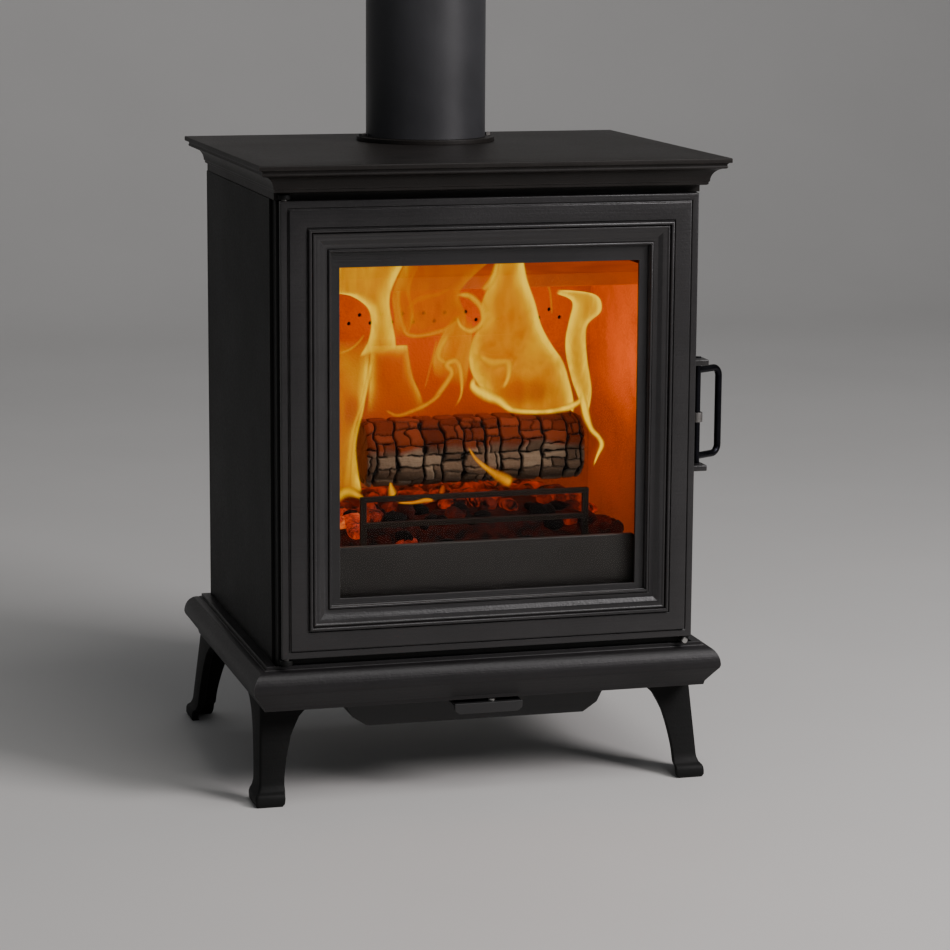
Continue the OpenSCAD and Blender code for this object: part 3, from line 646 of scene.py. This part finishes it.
# ---------------------------------------------------------------- the fire
def make_log(material):
    """A split log burnt to chequered blocks: wavy splits round it, and each column cut its own way."""
    low, high = span("firewood_log")
    rng = random.Random(11)
    start_x, end_x = low[0] + 5, high[0] - 6
    length, radius = end_x - start_x, (high[2] - low[2]) / 2
    cy, cz = (low[1] + high[1]) / 2, (low[2] + high[2]) / 2
    along_n, round_n = 320, 220
    split_gap, cut_gap = (13, 30), (0.034, 0.085)
    splits = [-12.0]
    while splits[-1] < length + 12:
        splits.append(splits[-1] + rng.uniform(*split_gap))
    columns = []
    for _ in splits:
        cuts = [0.0]
        while cuts[-1] < 1:
            cuts.append(cuts[-1] + rng.uniform(*cut_gap))
        cuts = [c / cuts[-1] for c in cuts]
        columns.append((cuts, [(rng.random(), rng.random() < 0.4, rng.uniform(0.3, 0.7)) for _ in cuts]))
    points, crack, heat, tone = [], [], [], []
    for i in range(along_n + 1):
        u = i / along_n
        x = start_x + length * u
        end = min(u, 1 - u) * length
        shrink = 1 - 0.08 * max(0, 1 - end / 5) ** 2
        for j in range(round_n):
            a = 2 * math.pi * j / round_n
            ring = Vector((0, math.cos(a), math.sin(a)))
            place = ring * 1.6 + Vector((x * 0.03, 0, 0))
            xs = (x - start_x + 4.5 * noise.noise(ring * 2.4 + Vector((x * 0.02, 0, 0)))
                  + 1.2 * noise.noise(ring * 9))
            column = max(k for k in range(len(splits) - 1) if splits[k] <= xs or k == 0)
            to_split = min(xs - splits[column], splits[column + 1] - xs)
            cuts, blocks = columns[column]
            v = (j / round_n + 0.010 * noise.noise(Vector((x * 0.11, column * 3.3, a * 1.5)))
                 + 0.004 * noise.noise(Vector((x * 0.4, a * 4, column)))) % 1.0
            row = max(k for k in range(len(cuts) - 1) if cuts[k] <= v)
            to_cut = min(v - cuts[row], cuts[row + 1] - v) * 2 * math.pi * radius
            shade, halved, where = blocks[row]
            part = (xs - splits[column]) / (splits[column + 1] - splits[column])
            lean = where + 0.16 * noise.noise(Vector((a * 5, row, column)))
            if halved:
                to_half = abs(part - lean) * (splits[column + 1] - splits[column])
                shade = (shade + (0.35 if part > lean else 0)) % 1.0
            else:
                to_half = 9.0
            open_up = 1.1 + 1.5 * smooth(0.0, 0.5, noise.noise(place * 1.9 + Vector((5, 0, 0))))
            groove = max(0.0, 1 - to_split / (1.5 * open_up), 1 - to_cut / (0.85 * open_up),
                         1 - to_half / (0.7 * open_up))
            groove = min(1.0, groove * 2.0)
            pillow = 1.1 * math.exp(-min(to_split, to_cut, to_half) / 2.4)
            squash = (abs(math.cos(a)) ** 5 + abs(math.sin(a)) ** 5) ** (-1 / 5)
            big = 1.4 * noise.noise(place * 0.9)
            fine = 0.35 * noise.noise(Vector((x * 0.35, math.cos(a) * 14, math.sin(a) * 14)))
            r = radius * min(squash, 1.10) * 0.895 * shrink + big + fine + (shade - 0.5) * 1.3 - pillow
            r = min(r, radius * 0.99) - 3.4 * groove
            points.append((x, cy - r * math.cos(a), cz + r * math.sin(a)))
            crack.append(groove)
            up = math.sin(a) + 0.22 * noise.noise(place * 1.3) + 0.12 * (shade - 0.5) + 0.10 * (0.5 - u)
            heat.append(smooth(0.06, 0.30, up))
            tone.append(shade)
    faces = [(i * round_n + j, i * round_n + (j + 1) % round_n, (i + 1) * round_n + (j + 1) % round_n,
              (i + 1) * round_n + j) for i in range(along_n) for j in range(round_n)]
    for i, x, inward in ((0, start_x, 1), (along_n, end_x, -1)):
        ring = [i * round_n + j for j in range(round_n)]
        for part in (0.86, 0.66, 0.42, 0.2, 0.0):
            start = len(points)
            for j in range(round_n):
                base = points[i * round_n + j]
                y, z = cy + (base[1] - cy) * part, cz + (base[2] - cz) * part
                dent = 0.8 + 0.8 * noise.noise(Vector((y * 0.2, z * 0.2, i)))
                spoke = max(0.0, 1 - abs((j / round_n * 13) % 1 - 0.5) * 12) * part
                points.append((x + inward * (dent + 2 * spoke), y, z))
                crack.append(spoke)
                heat.append(0.3)
                tone.append(0.5 + 0.4 * noise.noise(Vector((y * 0.1, z * 0.1, 3))))
            inner = [start + j for j in range(round_n)]
            faces += [(ring[j], ring[(j + 1) % round_n], inner[(j + 1) % round_n], inner[j])
                      for j in range(round_n)]
            ring = inner
    mesh = clean(plain_mesh("firewood", points, faces, crack=crack, glow=heat, tone=tone), 1e-7)
    piece = new_piece("firewood", mesh, material, smooth_angle=0)
    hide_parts("firewood_log")


def make_embers(material):
    """A mound of broken coals, hottest under the log and at the left; the coals at the front are painted near
    black as painted shade.
    """
    low, high = span("ember_bed")
    rng = random.Random(3)
    points, faces, heat = [], [], []
    middle_x, middle_y = (low[0] + high[0]) / 2, (low[1] + high[1]) / 2
    half_x, half_y = (high[0] - low[0]) / 2, (high[1] - low[1]) / 2
    columns, rows = 60, 30
    coals, coal_tall = 250, 14
    for j in range(rows + 1):
        for i in range(columns + 1):
            u, v = i / columns * 2 - 1, j / rows * 2 - 1
            x, y = middle_x + u * half_x, middle_y + v * half_y
            rise = (1 - abs(u) ** 4) * (1 - abs(v) ** 4)
            wave = 0.9 + 0.1 * noise.noise(Vector((x, y, 0)) * 0.05)
            z = low[2] + (high[2] - low[2] - coal_tall) * rise ** 0.6 * wave
            points.append((x, y, z + 3 * noise.noise(Vector((x, y, 5)) * 0.12) * rise))
            heat.append(0.03)
    faces += grid_faces(columns, rows)
    ball = bmesh.new()
    bmesh.ops.create_icosphere(ball, subdivisions=2, radius=1)
    shape = [v.co.copy() for v in ball.verts]
    shape_faces = [tuple(v.index for v in f.verts) for f in ball.faces]
    ball.free()
    for k in range(coals):
        u, v = rng.uniform(-0.95, 0.95), rng.uniform(-0.98, 0.95)
        x, y = middle_x + u * half_x, middle_y + v * half_y
        rise = (1 - abs(u) ** 4) * (1 - abs(v) ** 4)
        z = low[2] + (high[2] - low[2] - coal_tall) * rise ** 0.6
        r = rng.uniform(5, 11.5)
        size = Vector((r * rng.uniform(0.8, 1.7), r * rng.uniform(0.7, 1.1), r * rng.uniform(0.6, 0.95)))
        turn = Matrix.Rotation(rng.uniform(0, 6.28), 3, "Z") @ Matrix.Rotation(rng.uniform(-0.5, 0.5), 3, "X")
        seed = Vector((k * 3.1, k * 1.7, 0))
        # A coal's glow value sets both its ember light and its colour; the low values at the front paint
        # those coals near black as painted shade
        if x < -118 and y < -60:
            glow_and_painted_shade = rng.uniform(0.45, 1.0) * (1 if y > -112 else 0.3)
        elif y > -84:
            glow_and_painted_shade = rng.uniform(0.08, 0.42)
        else:
            glow_and_painted_shade = rng.choice((0.0, 0.0, 0.0, 0.03, 0.06, 0.26))
        at = len(points)
        for s in shape:
            facet = Vector([round(c * 2.4) / 2.4 for c in s]) * 0.35 + s * 0.65
            p = turn @ Vector([c * d for c, d in zip(facet, size)]) * (1 + 0.22 * noise.noise(s * 1.9 + seed))
            q = (min(max(x + p.x, low[0]), high[0]), min(max(y + p.y, low[1]), high[1]),
                 min(max(z + p.z, low[2]), high[2]))
            points.append(q)
            heat.append(glow_and_painted_shade)
        faces += [tuple(i + at for i in f) for f in shape_faces]
    mesh = plain_mesh("embers", points, faces, glow=heat)
    piece = new_piece("coals", mesh, material, smooth_angle=40)
    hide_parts("ember_bed")


def along(path, t):
    """A point at part t of a smooth line through the path's points."""
    t = t * (len(path) - 1)
    k = min(int(t), len(path) - 2)
    f = t - k
    p = [Vector(path[max(0, min(len(path) - 1, k + d))]) for d in (-1, 0, 1, 2)]
    return 0.5 * (2 * p[1] + (p[2] - p[0]) * f + (2 * p[0] - 5 * p[1] + 4 * p[2] - p[3]) * f * f
                  + (3 * p[1] - p[0] - 3 * p[2] + p[3]) * f ** 3)


def seen(across, up, y):
    """The point at depth y that the camera sees at this percentage of the window."""
    eye = bpy.context.scene.camera.location / MM
    glass = Vector((WINDOW[0] + (WINDOW[1] - WINDOW[0]) * across / 100, DOOR_Y + LIP,
                    WINDOW[2] + (WINDOW[3] - WINDOW[2]) * up / 100))
    return eye + (glass - eye) * ((y - eye.y) / (glass.y - eye.y))


def smooth(low, high, value):
    t = max(0.0, min(1.0, (value - low) / (high - low)))
    return t * t * (3 - 2 * t)


# About how many millimetres one percent of the window is, in a sheet and in a ribbon
SHEET_SCALE, RIBBON_SCALE = 3.12, 3.2


def gas_sheet(left, right, depth, body, rims, rim_width, foot, top, heat, crown=0.0, holes=()):
    """A sheet of flame between two edges, set in percentages of the window; the rims glow."""
    points, fold, veil = [], [], []
    rows, columns = 90, 44
    for j in range(rows + 1):
        t = j / rows
        a, b = along(left, t), along(right, t)
        wide = (b - a).length * SHEET_SCALE
        for i in range(columns + 1):
            s = i / columns
            p = a.lerp(b, s)
            y = depth[0] + (depth[1] - depth[0]) * smooth(60, 88, p.y) - 5 * math.sin(math.pi * s)
            points.append(seen(p.x, p.y, y))
            from_left, from_right = s * wide, (1 - s) * wide
            rim = max(rims[0] * math.exp(-((from_left - 2) / rim_width) ** 2),
                      rims[1] * math.exp(-((from_right - 2) / rim_width) ** 2),
                      crown * math.exp(-(((1 - t) * 60 - 2) / rim_width) ** 2))
            shade = body + (0.95 - body) * rim
            shade *= smooth(0, 2.2, from_left) * smooth(0, 2.2, from_right)
            shade *= (smooth(0, foot, t) if foot else 1) * (smooth(0, top, 1 - t) if top else 1)
            for x, z, rx, rz, amount in holes:
                away = ((p.x - x) / rx) ** 2 + ((p.y - z) / rz) ** 2
                shade *= 1 - amount * math.exp(-away * away)
                rim = max(rim, 0.75 * amount * math.exp(-((away - 1.5) * 2.2) ** 2) if amount > 0.8 else 0)
            fold.append(min(1.0, heat + (1 - heat) * rim))
            veil.append(shade)
    return points, grid_faces(columns, rows), fold, veil


def gas_ribbon(path, depth, heat, dense):
    """A bright fold or a thin wisp along a path of (across, up, width in mm)."""
    points, fold, veil = [], [], []
    steps, columns = 70, 10
    for j in range(steps + 1):
        t = j / steps
        here, ahead = along(path, t), along(path, min(1, t + 0.01)) - along(path, max(0, t - 0.01))
        side = Vector((-ahead.y, ahead.x)).normalized()
        for i in range(columns + 1):
            s = i / columns * 2 - 1
            off = side * (here.z * s / 2 / RIBBON_SCALE)
            points.append(seen(here.x + off.x, here.y + off.y, depth + 2 * s))
            core = math.cos(s * math.pi / 2)
            fold.append(heat * core ** 0.7)
            veil.append(dense * core ** 1.1 * smooth(0, 0.12, t) * smooth(0, 0.12, 1 - t))
    return points, grid_faces(columns, steps), fold, veil


def flame_piece(name, material, *parts):
    points, faces = join(*[part[:2] for part in parts])
    mesh = plain_mesh(name, points, faces, fold=[value for part in parts for value in part[2]],
                      veil=[value for part in parts for value in part[3]])
    piece = new_piece(name, mesh, material, smooth_angle=0)
    piece.visible_shadow = False


def make_flames():
    gas = flame_material()
    # The broad sheet that stands on the log, its curled left side and its bright foot
    flame_piece("flame_middle", gas, gas_sheet(
        [(58, 54), (53, 57), (46, 63), (42.5, 70), (43.5, 77), (46.8, 83), (46.5, 88), (49.5, 95), (52, 101)],
        [(78, 53), (78.5, 57), (76.8, 64), (74.6, 70), (70.8, 75), (67.2, 81), (65, 88), (62.3, 95),
         (61, 101)],
        (-72, -116), 0.84, (0.62, 0.95), 10, 0.03, 0, 0.40, holes=((62, 61, 9, 3.6, 0.6),)),
        gas_ribbon([(44.5, 66, 5), (44.3, 63, 11), (48, 60.6, 15), (53, 58.4, 12), (58, 55.4, 8),
                    (69, 54.6, 7),
                    (77.5, 56, 9), (82.5, 59, 6)], -96, 0.98, 0.95),
        gas_ribbon([(46, 73, 8), (50.5, 70.5, 15), (55.5, 70.5, 12), (56, 66, 8), (54, 62, 6)], -92, 0.80,
                   0.7),
        gas_ribbon([(38.3, 91, 4), (42.8, 90.5, 9), (46.6, 87, 9), (47.2, 82.8, 8), (43.6, 80, 8),
                    (40, 81.5, 6),
                    (38.6, 84.5, 4)], -112, 0.80, 0.85),
        gas_ribbon([(47, 92, 8), (50, 95, 10), (51.5, 99, 8), (51.8, 101, 6)], -118, 0.78, 0.7))
    # The one at the right end of the log, which curls over at its tip
    flame_piece("flame_right", gas, gas_sheet(
        [(81.6, 53), (79.6, 58), (77.2, 64), (75.3, 71), (74.9, 76.5), (76, 82), (77.2, 87), (75.6, 89),
         (71.8, 90.2)],
        [(83.6, 54), (84.6, 60), (84, 65), (83, 70), (82.4, 77), (83.2, 81), (87.6, 85), (85.2, 90),
         (72.2, 92)],
        (-84, -112), 0.88, (0.95, 0.95), 6, 0.05, 0.04, 0.62),
        gas_ribbon([(81, 61, 4), (82, 55, 11), (84.2, 49, 8), (87, 46, 7), (88, 43.6, 8), (86.6, 40.4, 5),
                    (85.2, 37, 2)], -98, 0.95, 0.95),
        gas_ribbon([(66, 97, 2), (69.5, 92, 4), (70.5, 84, 3)], -100, 0.45, 0.35),
        gas_ribbon([(60, 99, 5), (66, 95, 7), (72, 93.5, 6), (79, 96, 5)], -94, 0.2, 0.3))
    # The tall one at the left, with a hole through it, and the lower one in front of it
    flame_piece("flame_left", gas, gas_sheet(
        [(6, 73), (9, 78), (10, 83.5), (8.6, 88), (3.5, 91.5), (-3, 93), (-3, 97), (-3, 101)],
        [(18.8, 75), (18.4, 79), (17.4, 84), (16.6, 88.5), (16.9, 92), (18, 95), (19.6, 98), (21.5, 101)],
        (-80, -116), 0.76, (0.9, 0.75), 9, 0.06, 0, 0.46),
        gas_sheet([(8.4, 55), (9.2, 62), (9.4, 69), (9.8, 76.5)],
                  [(28.5, 55), (27, 61), (24.3, 67), (22.4, 76.5)],
                  (-74, -84), 0.34, (0.62, 0.55), 6, 0.5, 0.02, 0.18, 0.85),
        gas_sheet([(-3, 32), (-3, 45), (-3, 60), (-3, 75), (-2, 79)],
                  [(7.4, 32), (5.6, 46), (8.2, 58), (9.6, 68), (10, 79)],
                  (-90, -88), 0.62, (0.1, 0.72), 8, 0.06, 0.3, 0.42, holes=((4, 57, 2.6, 5.5, 0.75),)),
        gas_ribbon([(2, 33, 10), (3, 42, 7), (4.6, 52, 5), (7.6, 60, 6), (9.4, 67, 7), (10.6, 73, 6)], -94,
                   0.72, 0.75),
        gas_ribbon([(8, 80, 3), (6, 77.5, 4), (3, 75.5, 4), (-2, 74, 3)], -86, 0.6, 0.5))
    # Thin wisps and rolls between them, along the top of the log
    flame_piece("flame_wisps", gas,
                gas_ribbon([(30, 58.8, 5), (34, 63, 8), (37, 67.4, 8), (35.4, 70, 9), (38.4, 71, 8),
                            (40, 67.4, 7),
                            (40.2, 61, 4), (38, 57, 3)], -88, 0.62, 0.7),
                gas_ribbon([(15, 57, 3), (19, 55.2, 5), (24, 56.4, 6), (29, 58.4, 6), (34, 61.6, 5)], -92,
                           0.5, 0.6),
                gas_ribbon([(19.6, 97, 5), (19.2, 90, 6), (20.2, 84, 6), (22.4, 79.6, 7), (28, 79.2, 6),
                            (35.4, 81, 6),
                            (40, 84, 4)], -100, 0.55, 0.62),
                gas_ribbon([(22, 87, 4), (26, 90, 7), (33, 91.5, 6), (37, 94, 4)], -104, 0.4, 0.45),
                gas_ribbon([(22, 79, 4), (24, 86, 5), (22.5, 93, 5), (26, 101, 4)], -108, 0.42, 0.45),
                gas_ribbon([(39.8, 85, 4), (36.5, 80, 6), (33.6, 76, 8), (32.6, 72.4, 7), (35.4, 70.4, 5)],
                           -96, 0.55, 0.6),
                gas_ribbon([(28, 63, 2), (30, 70, 4), (32, 78, 3)], -90, 0.45, 0.4),
                gas_sheet([(31, 66), (30.5, 72), (33.4, 79), (38, 86)],
                          [(42, 62), (43, 70), (44, 77), (44, 84)],
                          (-66, -84), 0.62, (0.3, 0.2), 9, 0.3, 0.3, 0.34),
                gas_sheet([(18, 78), (17.6, 85), (17, 92), (21, 101)],
                          [(40, 76), (42, 84), (40, 92), (50, 101)],
                          (-58, -106), 0.52, (0.3, 0.2), 8, 0.3, 0.0, 0.27))
    # Small licks in front of the log and over the coals at its left
    flame_piece("flame_licks", gas,
                gas_ribbon([(42.6, 44.8, 2), (45.4, 40.8, 5), (50, 37.2, 8), (54.4, 34.6, 14),
                            (57.6, 33, 12)], -133, 0.5, 0.85),
                gas_ribbon([(16.6, 35, 2), (16.9, 33.4, 7), (17.4, 31.6, 12), (18, 30.8, 10)], -133, 0.62,
                           0.9),
                gas_ribbon([(-2, 30, 10), (2, 32.6, 14), (6, 31.4, 8), (8, 29.6, 5)], -124, 0.82, 0.85),
                gas_ribbon([(19, 28.6, 2), (24, 28.4, 4), (28.4, 29, 6), (31, 28.8, 3)], -141, 0.42, 0.85),
                gas_ribbon([(33.4, 30, 3), (34, 31.8, 8), (34.4, 33.4, 3)], -134, 0.1, 0.8))


def fire_light(name, place, power, colour, radius):
    data = bpy.data.lights.new(name, "POINT")
    data.energy, data.color, data.shadow_soft_size = power, colour, radius
    lamp = bpy.data.objects.new(name, data)
    lamp.location = place
    lamp.visible_camera = lamp.visible_glossy = lamp.visible_transmission = False
    place_in_scene(lamp)
    lamp.parent = frame["bodies"]["stove"]


# ---------------------------------------------------------------- the door's rope seal
def make_rope(material):
    low, high = span("door_rope")
    r, strands, lay_length = 2.9, 3, 3.2
    x0, x1, z0, z1 = low[0] + 3, high[0] - 3, low[2] + 3, high[2] - 3
    y = (low[1] + high[1]) / 2
    bend = 5.0
    path = []
    for cx, cz, start in ((x1 - bend, z1 - bend, 0), (x0 + bend, z1 - bend, 90), (x0 + bend, z0 + bend, 180),
                          (x1 - bend, z0 + bend, 270)):
        for k in range(7):
            a = math.radians(start + 15 * k)
            path.append(Vector((cx + bend * math.cos(a), y, cz + bend * math.sin(a))))
    dense = []
    for k, p in enumerate(path):
        q = path[(k + 1) % len(path)]
        steps = max(1, round((q - p).length / 1.6))
        dense += [p.lerp(q, i / steps) for i in range(steps)]
    points, total, ring = [], 0, 14
    for k, p in enumerate(dense):
        ahead = (dense[(k + 1) % len(dense)] - dense[k - 1]).normalized()
        out = ahead.cross(Vector((0, 1, 0)))
        for i in range(ring):
            a = 2 * math.pi * i / ring
            lay = 0.84 + 0.16 * abs(math.cos(strands / 2 * (a - total / lay_length)))
            points.append(p + (out * math.cos(a) + Vector((0, 1, 0)) * math.sin(a)) * r * lay)
        total += (dense[(k + 1) % len(dense)] - p).length
    n = len(dense)
    faces = [(k * ring + i, (k + 1) % n * ring + i, (k + 1) % n * ring + (i + 1) % ring,
              k * ring + (i + 1) % ring)
             for k in range(n) for i in range(ring)]
    piece = new_piece("rope_seal", make_mesh("rope_seal", points, faces), material, "door", 0)
    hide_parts("door_rope")


# ---------------------------------------------------------------- CAD nodes that stay
def refine(material, width, names, segments=2):
    """Gives CAD nodes a material and rounds their arrises; a node with no width keeps flat faces."""
    for name in names.split():
        node = NODES[name]
        node.data.materials.clear()
        node.data.materials.append(material)
        node.data.polygons.foreach_set("use_smooth", [width > 0] * len(node.data.polygons))
        if "custom_normal" in node.data.attributes:
            node.data.attributes.remove(node.data.attributes["custom_normal"])
        weld = node.modifiers.new("weld", "WELD")
        weld.merge_threshold = 1e-6
        if width:
            bevel = node.modifiers.new("bevel", "BEVEL")
            bevel.width = width * MM
            bevel.segments = segments
            bevel.limit_method = "ANGLE"
            bevel.angle_limit = math.radians(35)
            bevel.use_clamp_overlap = True
            even = node.modifiers.new("even", "WEIGHTED_NORMAL")
            even.weight = 100
            even.keep_sharp = True


# ---------------------------------------------------------------- stage
def pale(name, colour, rough):
    s = Shader(name)
    tone = s.noise(2.2, 4.0, 0.55)
    low = tuple(c * 0.96 for c in colour)
    surface = s.node("ShaderNodeBsdfPrincipled", Base_Color=s.ramp(tone, ((0.3, low), (0.7, colour))),
                     Roughness=rough)
    return s.finish(surface.outputs[0])


def make_stage():
    bm = bmesh.new()
    half, rise, turn, back = 9.0, 6.0, 1.6, 3.2
    profile = [(-half, 0.0), (back, 0.0)]
    profile += [(back + turn * sind(a), turn * (1 - cosd(a)))
                for a in range(6, 91, 6)]
    profile += [(back + turn, rise)]
    grid = [[bm.verts.new((x, y, z)) for y, z in profile] for x in (-half, half)]
    for k in range(len(profile) - 1):
        bm.faces.new((grid[0][k], grid[1][k], grid[1][k + 1], grid[0][k + 1]))
    mesh = bpy.data.meshes.new("studio_floor")
    bm.to_mesh(mesh)
    bm.free()
    for polygon in mesh.polygons:
        polygon.use_smooth = True
    floor = bpy.data.objects.new("studio_floor", mesh)
    mesh.materials.append(pale("studio_pale", (0.66, 0.65, 0.63), 0.75))
    place_in_scene(floor)
    world = bpy.data.worlds.new("studio")
    world.use_nodes = True
    world.node_tree.nodes["Background"].inputs[0].default_value = (0.92, 0.95, 1.0, 1)
    world.node_tree.nodes["Background"].inputs[1].default_value = 0.13
    bpy.context.scene.world = world


def soft_light(name, place, target, size, power, colour):
    data = bpy.data.lights.new(name, "AREA")
    data.shape = "RECTANGLE"
    data.size, data.size_y = size
    data.energy, data.color = power, colour
    lamp = bpy.data.objects.new(name, data)
    lamp.location = place
    lamp.visible_camera = False
    lamp.rotation_euler = (Vector(target) - Vector(place)).to_track_quat("-Z", "Y").to_euler()
    place_in_scene(lamp)


# ---------------------------------------------------------------- build
set_camera()
make_stage()
soft_light("key", (1.75, -1.95, 1.85), (0, 0, 0.45), (1.0, 1.0), 66, (1.0, 0.955, 0.97))
soft_light("top", (0.7, -1.7, 3.2), (0, 0, 0.5), (2.0, 1.4), 40, (1.0, 0.98, 0.97))
soft_light("backdrop", (0.6, 1.9, 3.4), (0.8, 4.4, 0.9), (3.4, 1.2), 10, (0.98, 0.98, 1.0))

# The body's paint is a darker copy of the stove's black paint, its darkness painted shade for the side panels
# turned away from the lamps; the frame, base, legs and small plates share it
shaded_body_paint = cast_paint("shaded_body_paint", (0.0060, 0.0062, 0.0060), (0.0125, 0.0125, 0.0120), (0.46, 0.58),
                        0.00030, 0.5, 0.11)
door_paint = cast_paint("door_paint", (0.0095, 0.0088, 0.0090), (0.0215, 0.0200, 0.0205), (0.29, 0.41),
                        0.00032, 1.2)
top_paint = cast_paint("top_paint", (0.0085, 0.0072, 0.0062), (0.0180, 0.0155, 0.0138), (0.42, 0.54),
                       0.00030, 1.0, 0.20)
plinth_paint = cast_paint("plinth_paint", (0.0085, 0.0078, 0.0080), (0.0180, 0.0168, 0.0174), (0.34, 0.46),
                          0.00030, 1.0, 0.28)
sheet = cast_paint("sheet_paint", (0.010, 0.010, 0.010), (0.018, 0.018, 0.018), (0.5, 0.62), 0.00008)
inner_iron = cast_paint("inner_iron", (0.008, 0.006, 0.005), (0.026, 0.017, 0.012), (0.6, 0.8), 0.0005, 0.0,
                        0.15)
steel = bare_metal("plain_steel", (0.50, 0.49, 0.47), 0.34)
dull = bare_metal("dull_steel", (0.22, 0.21, 0.20), 0.45)
handle_steel = bare_metal("handle_steel", (0.016, 0.016, 0.020), 0.34, (900, 900, 5))
# The last number of each of these three is painted firelight: emission on the liner bricks, back plate and
# baffle that stands in for the fire's light
brick = fire_brick("fire_brick", (0.20, 0.10, 0.04), (0.46, 0.23, 0.09), 0.40)
firelight_painted_plate = fire_brick("firelight_painted_plate", (0.14, 0.07, 0.03), (0.34, 0.16, 0.065), 0.36)
firelight_painted_board = fire_brick("firelight_painted_board", (0.20, 0.10, 0.05), (0.30, 0.15, 0.06), 0.52)

refine(shaded_body_paint, 0.5, "left_side_panel right_side_panel back_panel")
refine(shaded_body_paint, 1.0, "front_frame base_plate rear_blanking_plate leg_flanges hinge_brackets")
refine(door_paint, 1.6, "fire_fence", 3)
refine(sheet, 0.5, "heat_shield air_guide air_slider ash_pan")
refine(inner_iron, 0.9, "firebox_floor hearth_supports hearth_plate grate log_retainer")
refine(top_paint, 0.5, "flue_collar")
refine(flue_enamel(), 0.4, "flue_pipe")
refine(brick, 1.4, "left_brick right_brick")
refine(firelight_painted_plate, 1.0, "back_brick")
refine(firelight_painted_plate, 0, "air_panel")
refine(firelight_painted_board, 1.2, "baffle")
refine(dull, 0.4, "leg_bolts tie_rods collar_bolts blanking_plate_bolts shield_screws latch_keeper "
       "glass_clips latch_cam hinge_pins clip_screws")
refine(steel, 0.4, "door_rest_peg keeper_screws air_knob")
refine(handle_steel, 0.3, "handle_loop")
refine(smoked_glass(), 0, "door_glass")
refine(woven_rope(), 0.2, "glass_gasket")

make_door(door_paint)
make_top(top_paint)
make_plinth(plinth_paint)
for leg, sx, sy in (("front_left_leg", -1, -1), ("front_right_leg", 1, -1), ("back_left_leg", -1, 1),
                    ("back_right_leg", 1, 1)):
    make_leg(leg, sx, sy, shaded_body_paint)
make_rope(bpy.data.materials["woven_rope"])
make_log(charred_log())
make_embers(glowing_coal())
make_flames()
fire_light("fire_left", (-0.09, -0.05, 0.43), 0.24, (1.0, 0.21, 0.012), 0.05)
fire_light("fire_middle", (0.03, -0.03, 0.44), 0.24, (1.0, 0.21, 0.012), 0.05)
fire_light("fire_right", (0.12, -0.06, 0.43), 0.30, (1.0, 0.20, 0.010), 0.04)
fire_light("fire_front", (0.0, -0.155, 0.47), 0.07, (1.0, 0.48, 0.18), 0.03)
